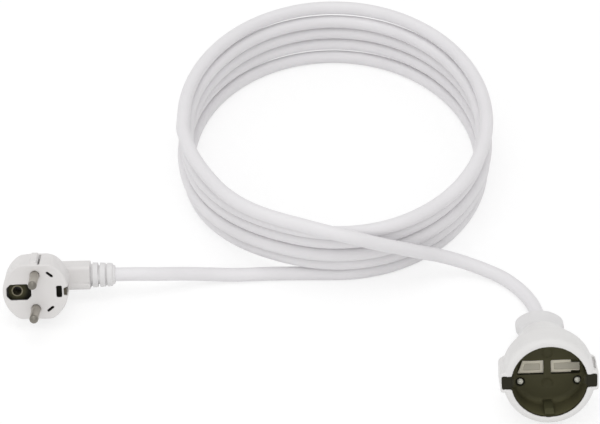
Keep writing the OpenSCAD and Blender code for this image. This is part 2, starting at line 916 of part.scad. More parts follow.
// Soft strain relief: a plug in the housing's rear, a flat neck and the collar that is gripped
module coupling_relief() {
    color(white_plastic)
        place_coupling()
            difference() {
                intersection() {
                    rotate_extrude()
                        polygon([
                            [relief_bore_r, -bush_front],
                            [bush_r, -bush_front],
                            [bush_r, -bush_front - 0.6],
                            [bush_rib_r, -bush_front - 0.6],
                            [bush_rib_r, -bush_front - 1.6],
                            [bush_r, -bush_front - 1.6],
                            [bush_r, -housing_l],
                            [housing_rear_r, -housing_l],
                            [neck_r, -flat_end],
                            [neck_r, 1 - collar_front],
                            [collar_r - 0.7, -collar_front],
                            [collar_r, -collar_front - 1],
                            [collar_r, 3.2 - coupling_l],
                            [collar_r - 0.8, 1.2 - coupling_l],
                            [collar_r - 2.4, -coupling_l],
                            [relief_bore_r, -coupling_l]
                        ]);
                    flattened_rear();
                }
                post(relief_bore_r, bush_front - nudge, coupling_l + nudge);
            }
}

// Outline of one window in the well's floor
module window_outline(side) {
    x = side > 0 ? [window_in, window_right] : [window_left, -window_in];
    translate([x[0], -window_low])
        square([x[1] - x[0], window_low + window_high]);
}

// Dark cup of the socket with its lip, guide ribs, key tabs and the windows over the entries
module socket_insert() {
    strip_slot = [strip_y - 0.9, strip_y + 0.8];
    color(olive_black)
        place_coupling()
            difference() {
                union() {
                    difference() {
                        union() {
                            post(insert_r, lip_t + seat_gap, insert_back);
                            block([-tab_out, tab_out], [-tab_half, tab_half], [tab_front, tab_depth]);
                        }
                        post(well_r, -nudge, well_depth);
                    }
                    block([rib_in, well_r + 0.3], [-2.4, 2.4], [1.5, well_depth]);
                    block([-well_r - 0.3, -rib_in], [-2.4, 2.4], [1.5, well_depth]);
                }
                for (side = [-1, 1]) {
                    translate([0, 0, -insert_back - nudge])
                        linear_extrude(floor_t + 2 * nudge)
                            window_outline(side);
                    y_slot = side > 0 ? strip_slot : [-strip_slot[1], -strip_slot[0]];
                    block([-strip_half - 0.2, strip_half + 0.2], y_slot,
                        [well_depth - nudge, insert_back + nudge]);
                }
                for (x = rivet_places) {
                    post(rivet_sink_r, well_depth - nudge, well_depth + 0.8, x, rivet_y);
                    post(rivet_shank_r + bore_gap, well_depth, insert_back + nudge, x, rivet_y);
                }
                for (y = dimple_places)
                    post(dimple_r, well_depth - nudge, well_depth + 0.8, 0, y);
            }
}

// Two rivets that hold the insert on the carrier
module insert_rivets() {
    color(steel)
        place_coupling()
            for (x = rivet_places)
                translate([x, rivet_y, 0])
                    rotate_extrude()
                        polygon([
                            [0, 0.5 - well_depth],
                            [rivet_head_r * 0.6, 0.25 - well_depth],
                            [rivet_head_r, -well_depth - 0.35],
                            [rivet_head_r, -well_depth - 0.8],
                            [rivet_shank_r, -well_depth - 0.8],
                            [rivet_shank_r, 1 - carrier_back],
                            [0, 1 - carrier_back]
                        ]);
}

// Dark block behind the well: shutter track and spring slot in its face, two contact towers
module contact_carrier() {
    spring_slot_x = post_half + 0.3;
    color(olive_black)
        place_coupling()
            difference() {
                union() {
                    post(carrier_r, insert_back, carrier_back);
                    intersection() {
                        post(tower_r, carrier_back - 0.1, tower_back);
                        for (side = [-1, 1])
                            block(side > 0 ? [tower_in, tower_r] : [-tower_r, -tower_in],
                                [-tower_half, tower_half], [carrier_back - 0.1, tower_back]);
                    }
                }
                intersection() {
                    post(track_r, insert_back - nudge, insert_back + recess_depth);
                    block([window_left - slide_gap, window_right + slide_gap],
                        [-window_low - slide_gap, window_high + shutter_travel + slide_gap],
                        [insert_back - nudge, insert_back + recess_depth]);
                }
                block([-spring_slot_x, spring_slot_x], [boss_low - slide_gap, spring_seat_y],
                    [insert_back - nudge, boss_back + slide_gap]);
                for (side = [-1, 1]) {
                    post(entry_r, insert_back, carrier_back + nudge, side * pin_x);
                    post(sleeve_r + bore_gap, carrier_back, tower_back + nudge, side * pin_x);
                    y_notch = side > 0 ? [strip_y - 0.8, carrier_r + 1]
                        : [-carrier_r - 1, 0.8 - strip_y];
                    block([-strip_half - 0.2, strip_half + 0.2], y_notch,
                        [insert_back - nudge, carrier_back + nudge]);
                }
                for (x = rivet_places)
                    post(rivet_shank_r + bore_gap, insert_back - nudge, carrier_back - 0.9,
                        x, rivet_y);
            }
}

// Sliding shutter: two wings behind the windows and a boss that the spring pushes on
module shutter() {
    color(shutter_beige)
        place_coupling()
            union() {
                translate([0, 0, -shutter_back])
                    linear_extrude(shutter_t)
                        polygon([
                            [wing_slant_x, window_high], [window_left, -window_low],
                            [wing_step_x, -window_low], [wing_step_x, wing_step_y[0]],
                            [window_right, wing_step_y[0]], [window_right, wing_step_y[1]],
                            [wing_step_x, wing_step_y[1]], [wing_step_x, window_high]
                        ]);
                block([-post_half, post_half], [boss_low, boss_high],
                    [shutter_back - 0.1, boss_back]);
            }
}

// Coil spring that closes the shutter
module shutter_spring() {
    color(steel)
        place_coupling()
            tube(spring_line, wire_r, 6, [0, 1, 0]);
}

// Contact sleeve with a crimp for its core
module contact_sleeve(x) {
    difference() {
        union() {
            post(sleeve_r, sleeve_front, sleeve_back, x);
            post(crimp_r, sleeve_back - 0.1, crimp_back, x);
        }
        post(sleeve_bore / 2, sleeve_front - nudge, sleeve_back - 0.5, x);
        post(core_r + bore_gap, sleeve_back + 0.7, crimp_back + nudge, x);
    }
}

module live_contact() {
    color(brass)
        place_coupling()
            contact_sleeve(pin_x);
}

module neutral_contact() {
    color(brass)
        place_coupling()
            contact_sleeve(-pin_x);
}

// Earth bow: a strip that shows as a sprung clip at the top and the bottom of the well
module earth_bow() {
    half = strip_t / 2;
    back = strip_z + half;
    front = strip_z - half;
    bend = clip_depths[2] + 2.8;
    outline = [
        [clip_lip_y, clip_depths[0]], [clip_y + half, clip_depths[1]],
        [clip_y + half, clip_depths[2]], [strip_y + half, bend], [strip_y + half, back]
    ];
    inner = [
        [strip_y - half, front], [strip_y - half, bend + 0.1],
        [clip_y - half, clip_depths[2] + 0.1], [clip_y - half, clip_depths[1] - 0.1],
        [clip_lip_y - 0.7, clip_depths[0] - 0.3]
    ];
    color(dull_nickel)
        place_coupling()
            difference() {
                union() {
                    translate([-strip_half, 0, 0])
                        rotate([90, 0, 90])
                            linear_extrude(2 * strip_half)
                                polygon(concat(
                                    [for (p = outline) [p[0], -p[1]]],
                                    [for (i = [len(outline) - 1 : -1 : 0])
                                        [-outline[i][0], -outline[i][1]]],
                                    [for (i = [len(inner) - 1 : -1 : 0])
                                        [-inner[i][0], -inner[i][1]]],
                                    [for (p = inner) [p[0], -p[1]]]
                                ));
                    post(crimp_r, strip_z, strip_z + 8);
                }
                post(core_r + bore_gap, strip_z + 4, strip_z + 8 + nudge);
            }
}

// Depth at a share of the way from the crimps to the end of the jacket
function core_depth(share) = crimp_back + share * (jacket_end_z - crimp_back);

// One core inside the coupling: from its crimp to the end of the jacket
module coupling_core(side) {
    place_coupling()
        tube([
            [side * pin_x, 0, -sleeve_back - 0.9],
            [side * pin_x, 0, -core_depth(0.1)],
            [side * 8, 0, -core_depth(0.36)],
            [side * 4.6, -0.4, -core_depth(0.63)],
            [side * core_circle * 0.87, -core_circle * 0.5, -core_depth(0.84)],
            [side * core_circle * 0.87, -core_circle * 0.5, -jacket_end_z]
        ], core_r, 8, [0, 1, 0]);
}

module coupling_live_core() {
    color(core_brown)
        coupling_core(1);
}

module coupling_neutral_core() {
    color(core_blue)
        coupling_core(-1);
}

module coupling_earth_core() {
    color(core_green)
        place_coupling()
            tube([
                [0, 0, -strip_z - 4.2],
                [0, 0, -strip_z - 9],
                [0, 0.6, -core_depth(0)],
                [0, core_circle, -core_depth(0.53)],
                [0, core_circle, -jacket_end_z]
            ], core_r, 8, [1, 0, 0]);
}

plug_body();
pin_bridge();
live_pin();
neutral_pin();
earth_socket();
earth_bar();
plug_relief();
plug_live_core();
plug_neutral_core();
plug_earth_core();
cord_plug_lead();
cord_coil();
cord_coupling_lead();
coupling_housing();
coupling_relief();
socket_insert();
insert_rivets();
contact_carrier();
shutter();
shutter_spring();
live_contact();
neutral_contact();
earth_bow();
coupling_live_core();
coupling_neutral_core();
coupling_earth_core();
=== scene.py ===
import json
import math

import bmesh
import bpy
import numpy as np
from bpy.props import FloatProperty, FloatVectorProperty, IntProperty, PointerProperty
from bpy.types import Operator, Panel, PropertyGroup
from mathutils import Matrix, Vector


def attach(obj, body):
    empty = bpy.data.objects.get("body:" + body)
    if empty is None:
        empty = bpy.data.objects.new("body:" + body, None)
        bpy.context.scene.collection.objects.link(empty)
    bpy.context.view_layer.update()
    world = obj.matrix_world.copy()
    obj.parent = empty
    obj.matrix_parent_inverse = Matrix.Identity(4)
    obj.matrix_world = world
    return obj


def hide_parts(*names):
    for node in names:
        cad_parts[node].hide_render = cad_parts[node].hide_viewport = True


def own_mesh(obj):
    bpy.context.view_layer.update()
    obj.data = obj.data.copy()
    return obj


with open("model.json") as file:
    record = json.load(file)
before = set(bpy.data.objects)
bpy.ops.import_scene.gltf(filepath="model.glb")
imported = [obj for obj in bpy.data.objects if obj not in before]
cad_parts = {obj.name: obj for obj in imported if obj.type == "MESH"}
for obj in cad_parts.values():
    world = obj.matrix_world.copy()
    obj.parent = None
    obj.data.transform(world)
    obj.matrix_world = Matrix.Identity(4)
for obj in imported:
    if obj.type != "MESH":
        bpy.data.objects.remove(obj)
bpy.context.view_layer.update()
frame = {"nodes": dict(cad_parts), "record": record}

bl_info = {
    "name": "Extension Lead",
    "version": (1, 0, 0),
    "blender": (4, 5, 0),
    "location": "3D View > Sidebar > Extension Lead",
    "description": "Dresses a coiled extension lead with its plug and its socket coupling",
    "category": "Object",
}

MM = 0.001
BODY = "lead"
SHUTTER_BODY = "shutter"

# ---- Places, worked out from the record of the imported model


def mount(name):
    """Place and axis of one of the record's mounts, as arrays."""
    found = next(m for m in frame["record"]["mounts"] if m["name"] == name)
    return np.array(found["pos_m"]), np.array(found["axis"])


def unit(vector):
    """The vector at length one."""
    return np.asarray(vector) / np.linalg.norm(vector)


def plug_place():
    """Origin at the middle of the plug's face, then its axes: towards the cable, along the line
    of the pins, and out of the face."""
    live, out = mount("live_pin")
    neutral, _ = mount("neutral_pin")
    out = unit(out)
    along = unit(live - neutral)
    half_pin = 8.5 * MM
    origin = (live + neutral) / 2 - half_pin * out
    return origin, np.array([np.cross(along, out), along, out])


def coupling_place():
    """Origin at the middle of the coupling's mouth, then its axes: across, up and out."""
    origin, out = mount("socket_well")
    out = unit(out)
    live, _ = mount("live_entry")
    neutral, _ = mount("neutral_entry")
    across = unit(live - neutral)
    return origin, np.array([across, np.cross(out, across), out])


PLUG = plug_place()
COUPLING = coupling_place()


def placed(points, place):
    """Moves points given in millimetres about a face to metres in the frame of the model."""
    origin, axes = place
    return origin + MM * np.asarray(points) @ axes


# ---- Sizes that several pieces share, in millimetres about the plug's or the coupling's face

ARM_DEPTH = 28.0  # axis of the cable arm behind the plug's face
ARM_REACH = 28.2  # end of the cable arm from the plug's axis
RELIEF_ROOT = 12.0  # where the strain relief starts inside the arm
PIN_Y = 9.5  # axis of each pin above or below the middle
CORD_BORE = 3.85  # radius of the bores that the cord lies in
HOUSING_L = 54.0
COUPLING_L = 80.0
RIVET_X = (-14.2, 15.9)
RIVET_Y = -7.0
WINDOW = (-3.1, 4.7)  # reach of the windows and of the shutter's wings, up
SPRING_SEAT = (0.0, 15.7, -22.6)  # where the shutter's spring ends
PAINTED_REFLECTION_START = 15.8  # where the painted dark reflection on the pins' tips starts
THROUGH_SKIN = (-2.7, 0.5)  # from behind the plug's skin to before its face
THROUGH_FLOOR = (-20.0, -17.0)  # from behind the well's floor to before it

# ---- Route of the cord, in metres

CORD_D = 0.0076
TURNS = 4 + 270 / 360


def ease(u):
    """Rises smoothly from 0 to 1 while u does, as u squared times (3 - 2 u)."""
    u = np.clip(u, 0, 1)
    return u * u * (3 - 2 * u)


def coil_line(turn):
    """Centre line of the coil after so many turns: an oval that grows and leans a little with
    each turn, wanders by a slow sine, and climbs one layer near the left of the front."""
    middle = (0.022, 0.171)
    half_width = 0.085
    half_length = 0.106 + 0.00085 * turn
    lean = 0.0006
    layer_step = 0.0082
    climb_start = 285
    climb_span = 60
    angle = 2 * np.pi * turn
    whole = np.floor(turn + 1e-4)
    layer = whole + ease((360 * (turn - whole) - climb_start) / climb_span)
    wave = 0.0012 * np.sin(0.37 * angle + math.radians(200))
    return np.stack([
        middle[0] + (half_width + wave) * np.sin(angle),
        middle[1] - lean * turn - (half_length + wave) * np.cos(angle),
        CORD_D / 2 + layer_step * layer,
    ], axis=-1)


def cord_route():
    """Points of the whole cord, from inside the plug, round the coil, to inside the coupling."""
    plug_part = placed([[x, 0, -ARM_DEPTH] for x in (12.7, 27.5, 41.7)], PLUG)
    exit_way = CORD_D * PLUG[1][0]
    level_way = np.array([CORD_D, 0, 0])
    plug_lead = np.array([
        [-0.076, 0.0542, 0.0120], [-0.062, 0.0586, 0.0088], [-0.048, 0.0620, 0.0058],
        [-0.033, 0.0638, 0.0040], [-0.016, 0.0650, 0.0038],
    ])
    turns = coil_line(np.linspace(0, TURNS, 240))
    start = turns[0] - level_way
    leaving = coil_line(np.array([TURNS]))[0] - coil_line(np.array([TURNS - 0.01]))[0]
    leaving[2] = 0
    leaving_way = CORD_D * unit(leaving)
    end = turns[-1] + leaving_way
    coupling_lead = np.array([
        [-0.0626, 0.1470, 0.0369], [-0.0576, 0.1280, 0.0378], [-0.0494, 0.1076, 0.0394],
        [-0.0396, 0.0890, 0.0413], [-0.0280, 0.0746, 0.0429], [-0.0135, 0.0640, 0.0438],
        [0.0022, 0.0569, 0.0438], [0.0185, 0.0524, 0.0419], [0.0320, 0.0509, 0.0391],
        [0.0450, 0.0530, 0.0336], [0.0550, 0.0569, 0.0282], [0.0660, 0.0620, 0.0215],
        [0.0790, 0.0680, 0.0140], [0.0920, 0.0692, 0.0086], [0.1040, 0.0665, 0.0052],
        [0.1130, 0.0614, 0.0040], [0.1200, 0.0538, 0.0038], [0.1254, 0.0452, 0.0038],
        [0.1289, 0.0366, 0.0039],
    ])
    coupling_part = placed([[0, 0, -z] for z in (87.6, COUPLING_L, 65, 50.5)], COUPLING)
    return np.concatenate([
        plug_part, plug_part[-1:] + exit_way, plug_lead, start[None] - level_way, start[None],
        turns, end[None], end[None] + 0.4 * leaving_way, coupling_lead, coupling_part,
    ])


def lengths_along(line):
    """Distance along a line from its first point to each of its points."""
    steps = np.linalg.norm(np.diff(line, axis=0), axis=1)
    return np.concatenate([[0], np.cumsum(steps)])


def smooth_line(points, step):
    """Points every step along a curve through the given points: between two of them a cubic,
    whose slope at each is the slope of the parabola through it and its two neighbours."""
    points = np.asarray(points, float)
    at = lengths_along(points)
    slope = np.gradient(points, at, axis=0)
    place = np.linspace(0, at[-1], int(at[-1] / step) + 1)
    i = np.clip(np.searchsorted(at, place, side="right") - 1, 0, len(at) - 2)
    span = (at[i + 1] - at[i])[:, None]
    u = (place - at[i])[:, None] / span
    return (
        (2 * u**3 - 3 * u**2 + 1) * points[i]
        + (u**3 - 2 * u**2 + u) * span * slope[i]
        + (3 * u**2 - 2 * u**3) * points[i + 1]
        + (u**3 - u**2) * span * slope[i + 1]
    )


# ---- Surfaces


def grid_faces(rows, columns, ring_of_rows=False):
    """Quads between the neighbours of a grid of points that is written row by row. Each row is a
    ring, and a ring of rows joins the last row to the first."""
    row = np.arange(rows if ring_of_rows else rows - 1)
    a, b = np.meshgrid(row, np.arange(columns), indexing="ij")
    a_next = (a + 1) % rows
    b_next = (b + 1) % columns
    quads = [a * columns + b, a * columns + b_next, a_next * columns + b_next,
             a_next * columns + b]
    return np.stack(quads, axis=-1).reshape(-1, 4)


def end_faces(count, sides):
    """Faces that close the first and the last of so many rings."""
    first = list(range(sides))
    return [first, [(count - 1) * sides + k for k in first]]


def around(sides):
    """Angles of evenly spaced points round a ring."""
    return np.linspace(0, 2 * np.pi, sides, endpoint=False)


def rings(radius, height, sides):
    """Rings of points about the local Z axis. Heights are a column, and radii are a column too,
    or have a value for each point."""
    angle = around(sides)
    grid = np.broadcast_arrays(radius * np.cos(angle), radius * np.sin(angle), height)
    return np.stack(grid, axis=-1).reshape(-1, 3)


def add_object(name, data):
    """Object with the given mesh, lamp or camera, put in the scene."""
    thing = bpy.data.objects.new(name, data)
    bpy.context.scene.collection.objects.link(thing)
    return thing


def make_piece(name, parts, place=None, body=BODY):
    """One mesh object from a list of (points, faces), with its faces turned outwards. The points
    are in millimetres about a face where its place is given, and in metres otherwise."""
    mesh = bpy.data.meshes.new(name)
    points = []
    faces = []
    for part_points, part_faces in parts:
        if place:
            part_points = placed(part_points, place)
        faces += [[int(k) + len(points) for k in face] for face in part_faces]
        points += part_points.tolist()
    mesh.from_pydata(points, [], faces)
    mesh.validate()
    work = bmesh.new()
    work.from_mesh(mesh)
    bmesh.ops.remove_doubles(work, verts=work.verts, dist=1e-7)
    bmesh.ops.recalc_face_normals(work, faces=work.faces)
    work.to_mesh(mesh)
    work.free()
    piece = add_object(name, mesh)
    if body:
        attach(piece, body)
    return piece


def tube(line, radius, sides):
    """Circles of points square to a line, as one closed surface."""
    way = np.gradient(line, axis=0)
    way /= np.linalg.norm(way, axis=1, keepdims=True)
    across = np.cross([0.0, 0.0, 1.0], way)
    across /= np.linalg.norm(across, axis=1, keepdims=True)
    over = np.cross(way, across)
    angle = around(sides)[None, :, None]
    circle = np.cos(angle) * across[:, None] + np.sin(angle) * over[:, None]
    points = (line[:, None] + radius * circle).reshape(-1, 3)
    return points, grid_faces(len(line), sides).tolist() + end_faces(len(line), sides)


def rectangle(x, y):
    """Corners of the rectangle between two limits along each of two axes."""
    return [(x[0], y[0]), (x[1], y[0]), (x[1], y[1]), (x[0], y[1])]


def rounded(corners, radius, steps):
    """Outline with its corners rounded: each is replaced by the arc that touches both sides, or
    by less where a side is too short for it."""
    corners = np.asarray(corners, float)
    out = []
    for i, corner in enumerate(corners):
        before = corners[i - 1] - corner
        after = corners[(i + 1) % len(corners)] - corner
        reach = min(np.linalg.norm(before), np.linalg.norm(after)) * 0.49
        before = unit(before)
        after = unit(after)
        half = math.acos(np.clip(before @ after, -1, 1)) / 2
        cut = min(radius / math.tan(half), reach)
        bend = cut * math.tan(half)
        centre = corner + unit(before + after) * bend / math.sin(half)
        first = corner + before * cut - centre
        last = corner + after * cut - centre
        for k in range(steps + 1):
            ray = first * (1 - k / steps) + last * k / steps
            out.append(centre + bend * unit(ray))
    return np.array(out)


def revolve(outline, sides=96):
    """Turns a closed outline of (radius, height) about the local Z axis."""
    outline = np.asarray(outline, float)
    points = rings(outline[:, :1], outline[:, 1:], sides)
    return points, grid_faces(len(outline), sides, ring_of_rows=True)


def loft(depths, radius, sides=144):
    """Rings behind the face. radius(angle, depth) gives the distance from the axis, for angles
    as a row and depths as a column. Both ends are closed by flat faces."""
    depth = np.asarray(depths, float)[:, None]
    points = rings(radius(around(sides), depth), -depth, sides)
    return points, grid_faces(len(depths), sides).tolist() + end_faces(len(depths), sides)


def prism(outline, low, high, low_outline=None):
    """Carries a flat outline from one height to another along the local Z axis, and narrows it
    to another outline at the lower end where one is given."""
    outline = np.asarray(outline, float)
    if low_outline is None:
        low_outline = outline
    count = len(outline)
    points = np.concatenate([
        np.column_stack([low_outline, np.full(count, low)]),
        np.column_stack([outline, np.full(count, high)]),
    ])
    return points, grid_faces(2, count).tolist() + end_faces(2, count)


def box(x, y, z):
    """Block between two limits along each local axis."""
    return prism(rectangle(x, y), *z)


def rounded_box(x, y, z, radius):
    """Block whose four edges along Z are rounded."""
    return prism(rounded(rectangle(x, y), radius, 4), *z)


def disc(radius, low, high, x=0.0, y=0.0, sides=64):
    """Solid cylinder along the local Z axis."""
    angle = around(sides)
    outline = np.column_stack([x + radius * np.cos(angle), y + radius * np.sin(angle)])
    return prism(outline, low, high)


def turned(part, degrees):
    """A part turned about the Z axis."""
    a = math.radians(degrees)
    turn = np.array([[math.cos(a), math.sin(a), 0], [-math.sin(a), math.cos(a), 0], [0, 0, 1]])
    return np.asarray(part[0]) @ turn, part[1]


def moved(part, offset):
    """A part moved by an offset."""
    return np.asarray(part[0]) + np.asarray(offset), part[1]


def swung(part, axes):
    """A part whose X, Y and Z are turned to the given three directions."""
    return np.asarray(part[0]) @ np.asarray(axes, float), part[1]


def along_arm(part):
    """A part about the Z axis, moved to the axis of the plug's cable arm."""
    return moved(swung(part, ((0, 1, 0), (0, 0, 1), (1, 0, 0))), (0, 0, -ARM_DEPTH))


def apply_modifiers(piece):
    """Replaces a piece's mesh by what its modifiers make of it."""
    graph = bpy.context.evaluated_depsgraph_get()
    mesh = bpy.data.meshes.new_from_object(piece.evaluated_get(graph))
    old = piece.data
    piece.modifiers.clear()
    piece.data = mesh
    bpy.data.meshes.remove(old)


def combine(piece, other, operation):
    """Adds another object's shape to a piece, takes it away or keeps what both share, by an
    exact Boolean, and removes the other object."""
    step = piece.modifiers.new("shape", "BOOLEAN")
    step.object = other
    step.operation = operation
    step.solver = "EXACT"
    apply_modifiers(piece)
    mesh = other.data
    bpy.data.objects.remove(other)
    bpy.data.meshes.remove(mesh)


def combine_parts(piece, place, parts, operation):
    """Combines a piece with parts in millimetres about a face, one after another."""
    for part in parts:
        tool = make_piece(piece.name + "_tool", [part], place, body=None)
        combine(piece, tool, operation)


def build_on(piece, place, *parts):
    combine_parts(piece, place, parts, "UNION")


def cut_away(piece, place, *parts):
    combine_parts(piece, place, parts, "DIFFERENCE")


def soften(piece, voxel, rounds):
    """Turns a piece into even small quads, so many millimetres across, and relaxes them, which
    rounds every edge by about the size of two quads."""
    remesh = piece.modifiers.new("even", "REMESH")
    remesh.mode = "VOXEL"
    remesh.voxel_size = voxel * MM
    remesh.use_smooth_shade = True
    relax = piece.modifiers.new("relax", "SMOOTH")
    relax.factor = 0.5
    relax.iterations = rounds
    apply_modifiers(piece)
    shade_smooth(piece)


def shade_smooth(piece, degrees=None):
    """Smooth shading, broken at edges sharper than the given angle."""
    mesh = piece.data
    mesh.shade_smooth()
    if degrees is not None:
        mesh.set_sharp_from_angle(angle=math.radians(degrees))


# ---- Materials


def linear(colour):
    """Linear value of a colour written as it shows on a screen."""
    return tuple(c / 12.92 if c <= 0.04045 else ((c + 0.055) / 1.055) ** 2.4 for c in colour)


def put(node, **values):
    """Sets values of a node's sockets, with _ for each space in a socket's name."""
    for key, value in values.items():
        node.inputs[key.replace("_", " ")].default_value = value


class Finish:
    """Node tree of one material, with short calls for the nodes that it is made of."""

    def __init__(self, name):
        self.material = bpy.data.materials.new(name)
        self.material.use_nodes = True
        self.nodes = self.material.node_tree.nodes
        self.shader = self.nodes["Principled BSDF"]
        self.where = self.add("ShaderNodeTexCoord").outputs["Object"]

    def add(self, kind, **values):
        node = self.nodes.new(kind)
        for key, value in values.items():
            setattr(node, key, value)
        return node

    def link(self, source, target):
        self.material.node_tree.links.new(source, target)

    def noise(self, scale, detail=3.0, roughness=0.5, where=None):
        """Fractal noise with so many features to the metre, on the surface's own place."""
        node = self.add("ShaderNodeTexNoise")
        put(node, Scale=scale, Detail=detail, Roughness=roughness)
        self.link(where or self.where, node.inputs["Vector"])
        return node.outputs["Fac"]

    def spread(self, source, low, high, from_low=0.3, from_high=0.7):
        """Carries the middle of a pattern's range over to another range."""
        node = self.add("ShaderNodeMapRange")
        self.link(source, node.inputs["Value"])
        put(node, From_Min=from_low, From_Max=from_high, To_Min=low, To_Max=high)
        return node.outputs["Result"]

    def ramp(self, source, stops):
        """Colours at places from 0 to 1, blended between."""
        node = self.add("ShaderNodeValToRGB")
        elements = node.color_ramp.elements
        while len(elements) < len(stops):
            elements.new(0.5)
        for element, (place, colour) in zip(elements, stops):
            element.position = place
            element.color = (*colour, 1.0)
        self.link(source, node.inputs["Fac"])
        return node.outputs["Color"]

    def varied(self, pattern, colour, darker, lighter, with_painted_light=False):
        """A colour that a pattern takes from one factor of it to another, times the painted light
        and shade of the piece's own points where it has them."""
        base = linear(colour)
        shade = self.ramp(pattern, [(0.3, tinted(base, darker)), (0.7, tinted(base, lighter))])
        if with_painted_light:
            painted_light_values = self.add("ShaderNodeAttribute", attribute_name="paint_light_and_shade")
            shade = self.dimmed(shade, painted_light_values.outputs["Fac"])
        return shade

    def dimmed(self, colour, amount):
        """A colour times an amount."""
        node = self.add("ShaderNodeVectorMath", operation="SCALE")
        self.link(colour, node.inputs[0])
        self.link(amount, node.inputs["Scale"])
        return node.outputs["Vector"]

    def from_point(self, point):
        """Distance from a point of the model, in metres."""
        node = self.add("ShaderNodeVectorMath", operation="DISTANCE")
        self.link(self.where, node.inputs[0])
        node.inputs[1].default_value = point
        return node.outputs["Value"]

    def bump(self, source, height, below=None):
        """Bump of so many metres, on top of another where one is given."""
        node = self.add("ShaderNodeBump")
        put(node, Strength=1.0, Distance=height)
        self.link(source, node.inputs["Height"])
        if below:
            self.link(below, node.inputs["Normal"])
        return node.outputs["Normal"]

    def use(self, colour, roughness, normal):
        """Joins the three to the shader, and gives the finished material."""
        self.link(colour, self.shader.inputs["Base Color"])
        self.link(roughness, self.shader.inputs["Roughness"])
        self.link(normal, self.shader.inputs["Normal"])
        return self.material


def tinted(colour, factor):
    """A colour made lighter or darker by a factor."""
    return tuple(min(1.0, c * factor) for c in colour)


def moulded_plastic(name, colour, gloss=0.42, unevenness=0.02, specular=0.5, with_painted_light=False):
    """Moulded plastic: a faint cloudiness in its colour, a gloss that varies softly, and the
    fine grain of the tool. One with painted light and shade takes it from its piece's own points."""
    f = Finish(name)
    shade = f.varied(f.noise(45.0, 2.0), colour, 1 - unevenness, 1 + unevenness, with_painted_light)
    rough = f.spread(f.noise(160.0), gloss - 0.05, gloss + 0.07)
    grain = f.bump(f.noise(2600.0, 2.0), 0.00001)
    put(f.shader, IOR=1.48, Specular_IOR_Level=specular)
    return f.use(shade, rough, grain)


def jacket_plastic(name, colour):
    """Extruded cord jacket: fine lines along the cord, slight dulling where it was handled."""
    f = Finish(name)
    uv = f.add("ShaderNodeUVMap", uv_map="cord").outputs["UV"]
    stretch = f.add("ShaderNodeMapping")
    put(stretch, Scale=(40.0, 6.0, 1.0))
    f.link(uv, stretch.inputs["Vector"])
    lines = f.noise(3.0, 3.0, 0.6, stretch.outputs["Vector"])
    shade = f.varied(f.noise(38.0), colour, 0.975, 1.01)
    rough = f.spread(f.noise(120.0), 0.40, 0.52)
    normal = f.bump(lines, 0.000012)
    normal = f.bump(f.noise(1800.0, 2.0), 0.000008, below=normal)
    put(f.shader, IOR=1.5)
    return f.use(shade, rough, normal)


def plated_metal(name, colour, roughness, metallic=1.0, with_painted_light=False):
    """Turned and plated metal: fine lines, a slightly uneven dullness. One with painted light and
    shade is darkened by the painted shade of its piece's own points."""
    f = Finish(name)
    lines = f.noise(900.0, 3.0, 0.6)
    shade = f.varied(f.noise(220.0), colour, 0.9, 1.06, with_painted_light)
    rough = f.spread(lines, roughness - 0.06, roughness + 0.08)
    put(f.shader, Metallic=metallic)
    return f.use(shade, rough, f.bump(lines, 0.000006))


def shaded_dark(colour):
    """Dark plastic with painted shade that makes it nearly black, and painted light round the
    earth bore.
    """
    f = Finish("bridge_painted_shade")
    bore = tuple(placed([[-10.0, 0, -2.3]], PLUG)[0])
    grey = f.varied(f.noise(60.0), colour, 0.9, 1.15)
    painted_light_near_bore = f.spread(f.from_point(bore), 1.0, 0.1, 0.0035, 0.0062)
    rough = f.spread(f.noise(160.0), 0.6, 0.75)
    put(f.shader, Specular_IOR_Level=0.2)
    return f.use(f.dimmed(grey, painted_light_near_bore), rough, f.bump(f.noise(900.0), 0.00002))


def striped_plastic(name, first, second):
    """Insulation of two colours in lengthwise stripes."""
    f = Finish(name)
    wave = f.add("ShaderNodeTexWave")
    put(wave, Scale=380.0)
    f.link(f.where, wave.inputs["Vector"])
    shade = f.ramp(wave.outputs["Fac"], [(0.48, linear(first)), (0.52, linear(second))])
    rough = f.spread(f.noise(300.0), 0.3, 0.42)
    return f.use(shade, rough, f.bump(f.noise(1500.0), 0.00001))


def local_mm(piece, place):
    """A piece's points in millimetres about a face."""
    found = np.empty(len(piece.data.vertices) * 3, np.float32)
    piece.data.vertices.foreach_get("co", found)
    origin, axes = place
    return (found.reshape(-1, 3) - origin) @ axes.T / MM


def paint_light_and_shade(piece, values):
    """Writes the painted light and shade of each point of a piece, beside its material's own
    colour.
    """
    layer = piece.data.attributes.new("paint_light_and_shade", "FLOAT", "POINT")
    layer.data.foreach_set("value", np.asarray(values, np.float32))


def dress(piece, material):
    """Gives a piece one material."""
    piece.data.materials.clear()
    piece.data.materials.append(material)


# ---- Settings


def colour_property(name, part, default):
    return FloatVectorProperty(name=name, description=f"Colour of the {part}", default=default,
                               subtype="COLOR", size=3, min=0.0, max=1.0)


class ExtleadFinishes(PropertyGroup):
    """Colours, written as they show on a screen."""

    plug: colour_property("Plug", "plug's shell", (0.885, 0.875, 0.870))
    coupling: colour_property("Coupling", "coupling's shell", (0.895, 0.890, 0.885))
    soft: colour_property("Strain reliefs", "strain reliefs", (0.890, 0.885, 0.885))
    jacket: colour_property("Jacket", "cord", (0.912, 0.905, 0.912))
    dark: colour_property("Dark plastic", "socket's insert", (0.318, 0.308, 0.215))
    shutter: colour_property("Shutter", "shutter", (0.95, 0.925, 0.850))
    nickel: colour_property("Pins", "plug's pins", (0.735, 0.715, 0.675))


class ExtleadCord(PropertyGroup):
    """Sizes of the cord."""

    sides: IntProperty(name="Sides", description="Sides of the cord's tube", default=24, min=8,
                       max=48)
    step: FloatProperty(name="Step", description="Distance between its rings", default=0.0025,
                        min=0.001, max=0.01, unit="LENGTH")


